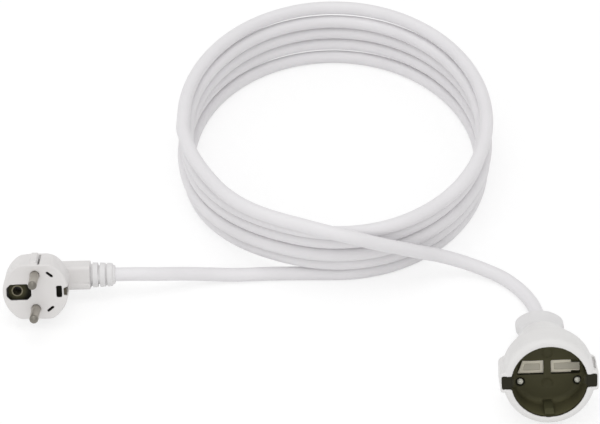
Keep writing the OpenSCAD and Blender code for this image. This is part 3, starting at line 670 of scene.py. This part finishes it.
class ExtleadStudio(PropertyGroup):
    """Camera and light."""

    elevation: FloatProperty(name="Elevation", description="Angle from which the camera looks",
                             default=math.radians(37), subtype="ANGLE")
    distance: FloatProperty(name="Distance", description="Distance of the camera", default=2.0,
                            unit="LENGTH")
    lens: FloatProperty(name="Lens", description="Focal length in millimetres", default=212.4)
    world: FloatProperty(name="Surroundings", description="Strength of the even light",
                         default=0.75, min=0.0, max=2.0)
    key: FloatProperty(name="Key lamp", description="Power of the key lamp in watts",
                       default=9.0, min=0.0)


# ---- Stage


def add_lamp(name, place, target, power, size):
    """Square area lamp that faces a target."""
    data = bpy.data.lights.new(name, "AREA")
    data.energy = power
    data.size = size
    lamp = add_object(name, data)
    lamp.location = place
    lamp.rotation_euler = (Vector(target) - Vector(place)).to_track_quat("-Z", "Y").to_euler()


WHITE = (1.0, 1.0, 1.0, 1.0)


def floor_material():
    """White ground that keeps part of its shading, so that it shows a shadow."""
    f = Finish("stage_white")
    diffuse = f.add("ShaderNodeBsdfDiffuse")
    put(diffuse, Color=(0.9, 0.9, 0.9, 1.0))
    glow = f.add("ShaderNodeEmission")
    put(glow, Color=WHITE, Strength=1.12)
    rays = f.add("ShaderNodeLightPath")
    seen = rays.outputs["Is Camera Ray"]
    for kind in ("Is Glossy Ray", "Is Transmission Ray"):
        either = f.add("ShaderNodeMath", operation="MAXIMUM")
        f.link(seen, either.inputs[0])
        f.link(rays.outputs[kind], either.inputs[1])
        seen = either.outputs[0]
    share = f.add("ShaderNodeMath", operation="MULTIPLY")
    share.inputs[1].default_value = 0.62
    f.link(seen, share.inputs[0])
    mix = f.add("ShaderNodeMixShader")
    f.link(share.outputs[0], mix.inputs["Fac"])
    f.link(diffuse.outputs[0], mix.inputs[1])
    f.link(glow.outputs[0], mix.inputs[2])
    f.link(mix.outputs[0], f.nodes["Material Output"].inputs["Surface"])
    f.nodes.remove(f.shader)
    return f.material


class EXTLEAD_OT_stage(Operator):
    """Sets up the camera, the white floor and the soft light"""

    bl_idname = "extlead.stage"
    bl_label = "Stage"

    def execute(self, context):
        scene = context.scene
        studio = scene.extlead_studio
        target = np.array([0.002, 0.1265, 0.0])
        away = np.array([0.0, -math.cos(studio.elevation), math.sin(studio.elevation)])
        view = bpy.data.cameras.new("camera")
        view.lens = studio.lens
        view.sensor_width = 36.0
        camera = add_object("camera", view)
        camera.location = target + studio.distance * away
        camera.rotation_euler = (math.pi / 2 - studio.elevation, 0.0, 0.0)
        scene.camera = camera

        reach = (-3.0, 3.0)
        corners = np.array([(x, y, 0) for x, y in rectangle(reach, reach)])
        floor = make_piece("floor", [(corners, [[0, 1, 2, 3]])], body=None)
        dress(floor, floor_material())

        for name, place, share in (("key", (-0.2, -0.2, 2.2), 1.0), ("front", (0, -1.8, 1.2), 0.5),
                                   ("left", (-1.8, -0.3, 1.2), 0.22)):
            add_lamp(name, place, target, share * studio.key, size=1.4)
        world = bpy.data.worlds.new("studio")
        world.use_nodes = True
        nodes = world.node_tree.nodes
        links = world.node_tree.links
        even = nodes["Background"]
        put(even, Color=WHITE, Strength=studio.world)
        white = nodes.new("ShaderNodeBackground")
        put(white, Color=WHITE, Strength=1.0)
        rays = nodes.new("ShaderNodeLightPath")
        mix = nodes.new("ShaderNodeMixShader")
        links.new(rays.outputs["Is Camera Ray"], mix.inputs["Fac"])
        links.new(even.outputs[0], mix.inputs[1])
        links.new(white.outputs[0], mix.inputs[2])
        links.new(mix.outputs[0], nodes["World Output"].inputs["Surface"])
        scene.world = world
        scene.view_settings.view_transform = "Standard"
        return {"FINISHED"}


# ---- Cord


class EXTLEAD_OT_cord(Operator):
    """Lays the cord from the plug round its coil to the coupling"""

    bl_idname = "extlead.cord"
    bl_label = "Cord"

    def execute(self, context):
        sizes = context.scene.extlead_cord
        line = smooth_line(cord_route(), sizes.step)
        cord = make_piece("cord", [tube(line, CORD_D / 2, sizes.sides)])
        self.unwrap(cord, line, sizes.sides)
        shade_smooth(cord, 60)
        dress(cord, jacket_plastic("cord_jacket", context.scene.extlead_finishes.jacket))
        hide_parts("cord_plug_lead", "cord_coil", "cord_coupling_lead")
        return {"FINISHED"}

    def unwrap(self, cord, line, sides):
        """Map of the jacket: once round the cord across, and metres along it up."""
        mesh = cord.data
        at = lengths_along(line)
        vertex = np.empty(len(mesh.loops), int)
        mesh.loops.foreach_get("vertex_index", vertex)
        loop_total = np.empty(len(mesh.polygons), int)
        mesh.polygons.foreach_get("loop_total", loop_total)
        column = vertex % sides
        face_of_loop = np.repeat(np.arange(len(loop_total)), loop_total)
        last_column = np.zeros(len(loop_total), bool)
        np.logical_or.at(last_column, face_of_loop, column == sides - 1)
        wraps = last_column[face_of_loop] & (column == 0)
        across = (column + sides * wraps) / sides
        uv = np.stack([across, at[np.clip(vertex // sides, 0, len(at) - 1)]], axis=-1)
        layer = mesh.uv_layers.new(name="cord")
        layer.data.foreach_set("uv", uv.astype(np.float32).ravel())


# ---- Shells and fittings, in millimetres about a face: X across, Y up, Z out of the face


def softened_least(a, b, power):
    """The lesser of two distances, with the change from one to the other rounded off: each is
    raised to minus the power, and the sum is brought back."""
    return (a**-power + b**-power) ** (-1 / power)


def stretch_of(depths, step):
    """Depths at about one step apart, with every given depth among them."""
    out = [depths[0]]
    for a, b in zip(depths[:-1], depths[1:]):
        count = max(1, int(math.ceil((b - a) / step)))
        out += [a + (b - a) * k / count for k in range(1, count + 1)]
    return np.array(out)


def to_side(side, near, far):
    """Reach from a near to a far distance, to one side of the middle: -1 or 1."""
    return sorted([side * near, side * far])


def plug_radius(angle, depth):
    """Plug's barrel: a circle that narrows towards the rear, cut by two flats that lean in."""
    circle = np.interp(depth, *np.transpose([
        (0, 16.9), (0.25, 17.35), (0.8, 17.7), (18.5, 17.7), (31.6, 13.0), (33.2, 12.3),
        (34.3, 11.2), (35, 9.6)]))
    flat = np.interp(depth, *np.transpose([
        (0, 15.0), (0.6, 15.5), (18.5, 15.5), (33, 11.4), (34.2, 10.5), (35, 9.2)]))
    return softened_least(circle, flat / np.maximum(np.abs(np.sin(angle)), 1e-6), 60)


FLAT_ARC = 18.1  # radius of the two arcs that flatten the collar


def coupling_arc(angle, half, arc=FLAT_ARC):
    """Distance to the nearer of two arcs that cross the upright axis at a half height: on a ray
    at an angle, the root of a circle whose centre lies (arc - half) beyond the axis."""
    shift = arc - half
    rise = np.abs(np.sin(angle))
    return np.sqrt(arc**2 - shift**2 * (1 - rise**2)) - shift * rise


def housing_radius(angle, depth):
    """Coupling's drum and cone, flattened towards the rear between two arcs."""
    circle = np.interp(depth, *np.transpose([
        (0, 21.7), (0.25, 22.35), (0.7, 23.0), (1.3, 23.5), (2, 23.8), (3.2, 24), (17.6, 24),
        (19.0, 23.75), (20.5, 23.05), (30, 19.9), (42, 15.8), (52, 12.55), (HOUSING_L, 12.2)]))
    half = np.interp(depth, *np.transpose([(0, 30), (44, 15.5), (46, 14.7), (64, 7.3)]))
    arc = np.maximum(FLAT_ARC, half + 1)
    return softened_least(circle, coupling_arc(angle, half, arc), 40)


def relief_radius(angle, depth):
    """Coupling's neck and collar: a circle between two arcs, with rounded shoulders."""
    circle = np.interp(depth, *np.transpose([
        (HOUSING_L, 12.15), (64, 11.6), (67.6, 11.6), (68.2, 11.8), (69.0, 12.4), (69.6, 12.8),
        (70.4, 13), (76.8, 13), (78.2, 12.7), (79.2, 12.0), (COUPLING_L, 10.6)]))
    half = np.interp(depth, *np.transpose([
        (HOUSING_L, 11.4), (64, 7.3), (78, 7.3), (79.2, 6.95), (COUPLING_L, 6.3)]))
    return softened_least(circle, coupling_arc(angle, half), 40)


def relief_groove(along, angle):
    """Depth of the plug relief's grooves, from 0 to 1: three bands, each bridged on two sides,
    and the bridges turn a quarter from band to band."""
    pitch = 4
    half_width = 0.42
    out = np.zeros(np.broadcast(along, angle).shape)
    for k in range(3):
        band = np.clip(1.6 - np.abs(along - (0.75 + pitch * k)) / half_width, 0, 1)
        bridge = np.clip(1.7 * np.abs(np.sin(angle + k * np.pi / 2)) * 3 - 1.2, 0, 1)
        out = np.maximum(out, ease(band) * (0.45 + 0.55 * bridge))
    return out


def ribbed_tail(sides=96):
    """Plug's strain relief as one skin: out along the ribs, round the end, back along the bore.
    The radius falls from rib to rib, and the grooves are taken out of it."""
    root = RELIEF_ROOT - ARM_REACH
    end = 13.5
    along = np.concatenate([[root], np.linspace(-0.4, end, 150)])[:, None]
    rib = np.interp(along, [root, -0.3, 0.0, 4, 8, 11.9, 12.5, 13.2, end],
                    [4.9, 4.9, 6.9, 6.75, 6.55, 6.3, 5.2, 5.15, 4.8])
    core = 5.2 - 0.25 * np.clip(along / 12, 0, 1)
    r = rib - np.maximum(rib - core, 0) * relief_groove(along, around(sides))
    r = np.concatenate([r, np.full((2, sides), CORD_BORE)])
    along = np.concatenate([along, [[end], [root]]]) + ARM_REACH
    return rings(r, along, sides), grid_faces(len(along), sides, ring_of_rows=True)


class EXTLEAD_OT_plug(Operator):
    """Builds the plug's shell, its pins and its ribbed strain relief"""

    bl_idname = "extlead.plug"
    bl_label = "Plug"

    def execute(self, context):
        colours = context.scene.extlead_finishes
        shell = self.shell()
        dress(shell, moulded_plastic("plug_white", colours.plug, with_painted_light=True))
        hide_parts("plug_body")

        relief = make_piece("plug_tail", [along_arm(ribbed_tail())], PLUG)
        shade_smooth(relief, 50)
        dress(relief, moulded_plastic("relief_white", colours.soft, 0.5))
        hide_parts("plug_relief")

        nickel = plated_metal("pin_nickel", colours.nickel, 0.4, with_painted_light=True)
        for node, y in (("live_pin", PIN_Y), ("neutral_pin", -PIN_Y)):
            pin = make_piece(node.replace("_pin", "_contact_pin"),
                             [moved(self.pin(), (0, y, 0))], PLUG)
            shade_smooth(pin, 40)
            z = local_mm(pin, PLUG)[:, 2]
            # Painted dark reflection on the pins' tips, growing darker towards the end.
            paint_light_and_shade(pin, 1 - 0.5 * ease((z - PAINTED_REFLECTION_START) / 2.6))
            dress(pin, nickel)
            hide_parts(node)
        return {"FINISHED"}

    def pin(self):
        """Turned pin: its tip is a quarter of an ellipse, and behind the face it is thinner and
        has a collar and a cup for its core."""
        radius = 2.4
        shank = 2.0
        turn = np.linspace(0, np.pi / 2, 10)
        tip = np.column_stack([radius * np.sin(turn), 17.2 + 1.8 * np.cos(turn)])
        rest = [(radius, 16.5), (radius, PAINTED_REFLECTION_START), (radius, 0.15), (2.3, 0), (shank, 0),
                (shank, -10.3), (3.4, -10.3), (3.4, -12.1), (shank, -12.1), (shank, -16),
                (1.35, -16), (1.35, -12), (0.0, -12)]
        return revolve(np.concatenate([tip, rest]), 64)

    def shell(self):
        """Barrel and cable arm in one, with the openings of the face."""
        barrel = loft(stretch_of([0, 0.25, 0.8, 18.5, 31.6, 33.2, 34.3, 35], 1.6), plug_radius)
        shell = make_piece("plug_shell", [barrel], PLUG)
        arm = rounded(rectangle((-6.8, 6.8), (-6.5, 6.5)), 2.2, 8)
        ridges = [box((-2.6, 0.9), to_side(side, 14.5, 16.7), (-18.5, -2.4)) for side in (-1, 1)]
        build_on(shell, PLUG, along_arm(prism(arm, 7, ARM_REACH)), *ridges)
        slit = rounded_box((-2.15, 2.15), (-0.65, 0.65), THROUGH_SKIN, 0.3)
        for side in (-1, 1):
            top = 0.3 if side > 0 else -1.9
            cut_away(
                shell, PLUG,
                box((1.45, 2.6), to_side(side, 14.9, 16.6), (-17.9, -0.7)),
                disc(2.43, *THROUGH_SKIN, 0, side * PIN_Y, 48),
                moved(turned(slit, -38 * side), (7.9, 9.7 * side, 0)),
                box(to_side(side, 16.1, 18.5), (-2.4, 2.4), (-19.5, top)),
                box(to_side(side, 15.3, 18.5), (-1.9, 1.9), (top - 1.3, top)),
            )
        octagon = [(6.6, 2.3), (4.5, 4.4), (-4.5, 4.4), (-6.6, 2.3), (-6.6, -2.3), (-4.5, -4.4),
                   (4.5, -4.4), (6.6, -2.3)]
        mouth = moved(prism(octagon, *THROUGH_SKIN), (-8.9, 0, 0))
        slot = rounded_box((11.3, 14.3), (-3.2, 3.2), THROUGH_SKIN, 0.5)
        seam = box((17.5, 31), (-3.2, -2.5), (-ARM_DEPTH + 6.0, -ARM_DEPTH + 7))
        chamber = disc(14.9, -12, -2.2, sides=96)
        bore = along_arm(disc(4.95, RELIEF_ROOT, 30.5))
        cut_away(shell, PLUG, mouth, slot, seam, chamber, bore)
        soften(shell, 0.36, 3)
        x, y, z = local_mm(shell, PLUG).T
        # Painted shade: dark inside the face's openings just behind the face, and darker along the
        # grooves.
        painted_shade_in_opening = (np.hypot(x, y) < 15.9) & (np.abs(y) < 13) & (z > -13)
        painted_shade_in_opening &= np.hypot(x, np.abs(y) - PIN_Y) > 3
        painted_shade_in_groove = (np.abs(x - 2.0) < 0.75) & (np.abs(np.abs(y) - 15.0) < 0.38)
        painted_shade_in_groove &= (z > -18.2) & (z < -0.8)
        paint_light_and_shade(shell, (1 - 0.94 * painted_shade_in_opening * ease((-z - 0.2) / 0.4)) * (1 - 0.45 * painted_shade_in_groove))
        return shell


class EXTLEAD_OT_coupling(Operator):
    """Builds the coupling's shell, its collar, its dark socket and the shutter"""

    bl_idname = "extlead.coupling"
    bl_label = "Coupling"

    def execute(self, context):
        colours = context.scene.extlead_finishes
        housing = self.housing()
        dress(housing, moulded_plastic("coupling_white", colours.coupling))
        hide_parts("coupling_housing")

        collar = self.collar()
        dress(collar, moulded_plastic("collar_white", colours.soft, 0.5))
        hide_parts("coupling_relief")

        socket = self.socket()
        dress(socket, moulded_plastic("socket_dark", colours.dark, 0.68, unevenness=0.06,
                                      specular=0.25, with_painted_light=True))
        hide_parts("socket_insert")

        rivets = self.rivets()
        dress(rivets, plated_metal("bright_steel", (1.0, 0.99, 0.93), 0.2, metallic=0.0))
        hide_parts("insert_rivets")

        wings = self.wings()
        dress(wings, moulded_plastic("shutter_beige", colours.shutter, 0.4, with_painted_light=True))
        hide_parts("shutter")

        spring = self.spring()
        dress(spring, plated_metal("spring_steel", (0.80, 0.80, 0.80), 0.3))
        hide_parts("shutter_spring")
        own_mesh(spring)
        return {"FINISHED"}

    def housing(self):
        """Drum and cone, with two ears, the cavity for the socket and the bore for the cord."""
        depths = [0, 0.25, 0.7, 1.3, 2, 3.2, 17.6, 19, 20.5, 30, 42, 46, HOUSING_L]
        body = loft(stretch_of(depths, 1.6), housing_radius)
        shell = make_piece("coupling_shell", [body], COUPLING)
        reach, front, rear = 25.5, -0.6, -26
        ear = rounded([(reach, -5.5), (reach, 5.5), (-reach, 5.5), (-reach, -5.5)], 1.2, 5)
        ears = make_piece("ears", [prism(ear, rear, front)], COUPLING, body=None)
        seen_above = [(reach, front), (reach, -20), (21.1, rear), (-21.1, rear), (-reach, -20),
                      (-reach, front)]
        limit = swung(prism(seen_above, -6, 6), ((1, 0, 0), (0, 0, 1), (0, -1, 0)))
        combine_parts(ears, COUPLING, [limit], "INTERSECT")
        combine(shell, ears, "UNION")
        groove = (23.3, 24.8)
        cavity = [(0, 1), (20.6, 1), (19.9, -0.15), (19.8, -0.8), (20.5, -0.9), (20.5, -19.2),
                  (20.3, -19.3), (20.3, -26), (10, -50), (8.1, -50), (8.1, -55), (0, -55)]
        cut_away(
            shell, COUPLING,
            box(groove, (4.5, 11), (-20, -1.2)),
            box(groove, (2.3, 11), (-20, -6)),
            revolve(cavity),
            rounded_box((-24.8, 24.8), (-3.7, 3.7), (-5.1, 0.5), 0.6),
        )
        soften(shell, 0.46, 3)
        return shell

    def collar(self):
        """Plug in the housing's rear, neck and collar, bored for the cord."""
        depths = [HOUSING_L, 64, 67.6, 68.2, 69.0, 69.6, 70.4, 76.8, 78.2, 79.2, COUPLING_L]
        body = loft(stretch_of(depths, 0.8), relief_radius)
        collar = make_piece("coupling_collar", [body], COUPLING)
        build_on(collar, COUPLING, disc(8.0, -54.5, -51, sides=72))
        cut_away(collar, COUPLING, disc(CORD_BORE, -81, -50, sides=48))
        soften(collar, 0.38, 4)
        return collar

    def socket(self):
        """Cup with windows, rivet sinks, dimples, guide ribs and key tabs. Painted shade darkens
        the rim, the key tabs and what is sunk in the floor, and painted light lightens the lower
        wall."""
        cup = make_piece("socket_cup", [disc(20.4, -19.1, -0.9, sides=128)], COUPLING)
        build_on(cup, COUPLING, rounded_box((-24.7, 24.7), (-3.6, 3.6), (-5, -0.9), 0.8))
        depths = [-1, 0, 14.5, 15.5, 16.3, 16.9, 17.3, 17.5]
        radii = [19.8, 19.75, 19.7, 19.6, 19.2, 18.7, 17.9, 17.1]
        well = loft(depths, lambda angle, depth: np.interp(depth, depths, radii))
        cut_away(cup, COUPLING, well)
        for side in (-1, 1):
            rib = rounded_box(to_side(side, 18.15, 20), (-2.4, 2.4), (-17.8, -1.5), 0.5)
            build_on(cup, COUPLING, rib)
        cuts = [box(x, WINDOW, THROUGH_FLOOR) for x in ((-15.5, -1.9), (1.9, 17.2))]
        for x in RIVET_X:
            cuts += [disc(2.45, -18.3, -17, x, RIVET_Y, 48), disc(1.05, -20, -18, x, RIVET_Y, 24)]
        dimple = revolve([(0, -18.3), (1.8, -18.2), (2.6, -18.0), (3.1, -17.5), (3.1, -17),
                          (0, -17)], 48)
        cuts += [moved(dimple, (0, y, 0)) for y in (-8.2, 9.0)]
        cuts += [box((-2.6, 2.6), to_side(side, 17.75, 18.65), THROUGH_FLOOR) for side in (-1, 1)]
        cut_away(cup, COUPLING, *cuts)
        soften(cup, 0.31, 2)
        x, y, z = local_mm(cup, COUPLING).T
        reach = np.hypot(x, y)
        # Painted shade: the mouth's rim and the key tabs are dark, up to full colour deeper in the
        # well.
        rim = 0.22
        light = rim + (1 - rim) * ease((-z - 1.3) / 0.8)
        light = np.where(reach > 20.1, rim, light)
        sunk = ease((-z - 17.6) / 0.5)
        # Painted shade in a ring round each rivet sink.
        for rivet in RIVET_X:
            ring = 1 - ease((np.hypot(x - rivet, y - RIVET_Y) - 2.3) / 0.5)
            light *= 1 - 0.8 * ring * ease((-z - 17) / 0.5)
        # Painted shade on what is sunk below the floor along the windows.
        in_window = (y > WINDOW[0] - 0.5) & (y < WINDOW[1] + 0.5)
        light *= np.where(in_window, 1 - 0.75 * sunk, 1)
        # Painted light on the lower wall, which lifts the shade there.
        light *= 1 + 0.3 * ease((-14 - y) / 4) * ease((reach - 15) / 3)
        paint_light_and_shade(cup, light)
        return cup

    def rivets(self):
        """Two domed heads on their shanks: the dome is part of a sphere."""
        radius = 1.6
        turn = np.linspace(0, 1, 8) * np.pi / 2
        dome = np.column_stack([radius * np.sin(turn), -18.0 + np.cos(turn)])
        outline = np.concatenate([dome, [(radius, -18.3), (1.0, -18.3), (1.0, -24.1), (0, -24.1)]])
        head = revolve(outline, 40)
        heads = [moved(head, (x, RIVET_Y, 0)) for x in RIVET_X]
        rivets = make_piece("socket_rivets", heads, COUPLING)
        shade_smooth(rivets, 50)
        return rivets

    def wings(self):
        """Plate with a wing for each window, each hollowed a little inside a raised border, and
        the boss that the spring pushes."""
        low, high = WINDOW
        plate = [(-12.6, high), (-15.5, low), (12.6, low), (12.6, -2.2), (17.2, -2.2),
                 (17.2, 2.2), (12.6, 2.2), (12.6, high)]
        wings = make_piece("shutter_wings", [prism(plate, -20.85, -19.35)], COUPLING,
                           SHUTTER_BODY)
        build_on(wings, COUPLING, box((-2, 2), (-2.6, 3.4), (-24.3, -20.75)))
        hollows = [
            [(-11.6, 2.4), (-13.2, -1.5), (-3.6, -1.5), (-3.6, 2.4)],
            [(3.5, 2.4), (3.5, -1.5), (17.4, -1.5), (17.4, 2.4)],
        ]
        for outline in hollows:
            inner = np.array(outline)
            middle = inner.mean(axis=0)
            cut_away(wings, COUPLING, prism(inner, -19.9, -19.2, middle + (inner - middle) * 0.94))
        soften(wings, 0.22, 2)
        z = local_mm(wings, COUPLING)[:, 2]
        # Painted shade: the hollows are darker than the raised border.
        paint_light_and_shade(wings, 0.68 + 0.32 * ease((z + 19.75) / 0.3))
        return wings

    def spring(self):
        """Return spring, built at one length, though the rising shutter shortens the real one: a
        circle that climbs evenly, with the wire's round section carried along it."""
        turns = 7
        radius = 1.45
        foot, length = 3.75, 11.7
        turn = np.linspace(0, turns, 24 * turns + 1)
        line = np.column_stack([radius * np.cos(2 * np.pi * turn), foot + length * turn / turns,
                                radius * np.sin(2 * np.pi * turn) + SPRING_SEAT[2]])
        spring = make_piece("return_spring", [tube(placed(line, COUPLING), 0.25 * MM, 10)])
        shade_smooth(spring, 60)
        return spring


# ---- Finishes of the carried-over parts


class EXTLEAD_OT_finishes(Operator):
    """Gives each carried-over part its material"""

    bl_idname = "extlead.finishes"
    bl_label = "Finishes"

    def execute(self, context):
        colours = context.scene.extlead_finishes
        dark = moulded_plastic("dark_plastic", colours.dark, 0.68, unevenness=0.06, specular=0.25)
        bronze = plated_metal("dark_bronze", (0.52, 0.50, 0.42), 0.5, metallic=0.6)
        # Painted shade: the earth clip's metal is coloured a dark olive, as dark as the shaded
        # well it sits in.
        clip = plated_metal("clip_painted_shade", (0.325, 0.32, 0.215), 0.65, metallic=0.1)
        dull = plated_metal("dull_nickel", (0.36, 0.34, 0.30), 0.45)
        brass = plated_metal("contact_brass", (0.80, 0.68, 0.42), 0.32)
        brown = moulded_plastic("insulation_brown", (0.36, 0.20, 0.11), 0.35)
        blue = moulded_plastic("insulation_blue", (0.12, 0.28, 0.62), 0.35)
        green = striped_plastic("insulation_green_yellow", (0.22, 0.48, 0.16), (0.85, 0.78, 0.15))
        looks = {
            "pin_bridge": shaded_dark(colours.dark), "earth_socket": bronze, "earth_bar": dull,
            "contact_carrier": dark, "live_contact": brass, "neutral_contact": brass,
            "earth_bow": clip,
        }
        for end in ("plug", "coupling"):
            looks |= {f"{end}_live_core": brown, f"{end}_neutral_core": blue,
                      f"{end}_earth_core": green}
        for name, material in looks.items():
            dress(frame["nodes"][name], material)
        return {"FINISHED"}


# ---- Panel and registration

OPERATORS = (EXTLEAD_OT_stage, EXTLEAD_OT_cord, EXTLEAD_OT_plug, EXTLEAD_OT_coupling,
             EXTLEAD_OT_finishes)


class EXTLEAD_PT_panel(Panel):
    """Lists the steps that dress the lead"""

    bl_idname = "EXTLEAD_PT_panel"
    bl_label = "Extension Lead"
    bl_space_type = "VIEW_3D"
    bl_region_type = "UI"
    bl_category = "Extension Lead"

    def draw(self, context):
        column = self.layout.column(align=True)
        for operator in OPERATORS:
            column.operator(operator.bl_idname)
        for settings in (context.scene.extlead_studio, context.scene.extlead_cord,
                         context.scene.extlead_finishes):
            group = self.layout.box()
            for key in settings.__annotations__:
                group.prop(settings, key)


CLASSES = (ExtleadFinishes, ExtleadCord, ExtleadStudio, *OPERATORS, EXTLEAD_PT_panel)


def register():
    for cls in CLASSES:
        bpy.utils.register_class(cls)
    bpy.types.Scene.extlead_finishes = PointerProperty(type=ExtleadFinishes)
    bpy.types.Scene.extlead_cord = PointerProperty(type=ExtleadCord)
    bpy.types.Scene.extlead_studio = PointerProperty(type=ExtleadStudio)


def unregister():
    del bpy.types.Scene.extlead_studio
    del bpy.types.Scene.extlead_cord
    del bpy.types.Scene.extlead_finishes
    for cls in reversed(CLASSES):
        bpy.utils.unregister_class(cls)


def main():
    register()
    for operator in OPERATORS:
        group, name = operator.bl_idname.split(".")
        getattr(getattr(bpy.ops, group), name)()
    bpy.context.view_layer.update()


if __name__ == "__main__":
    main()
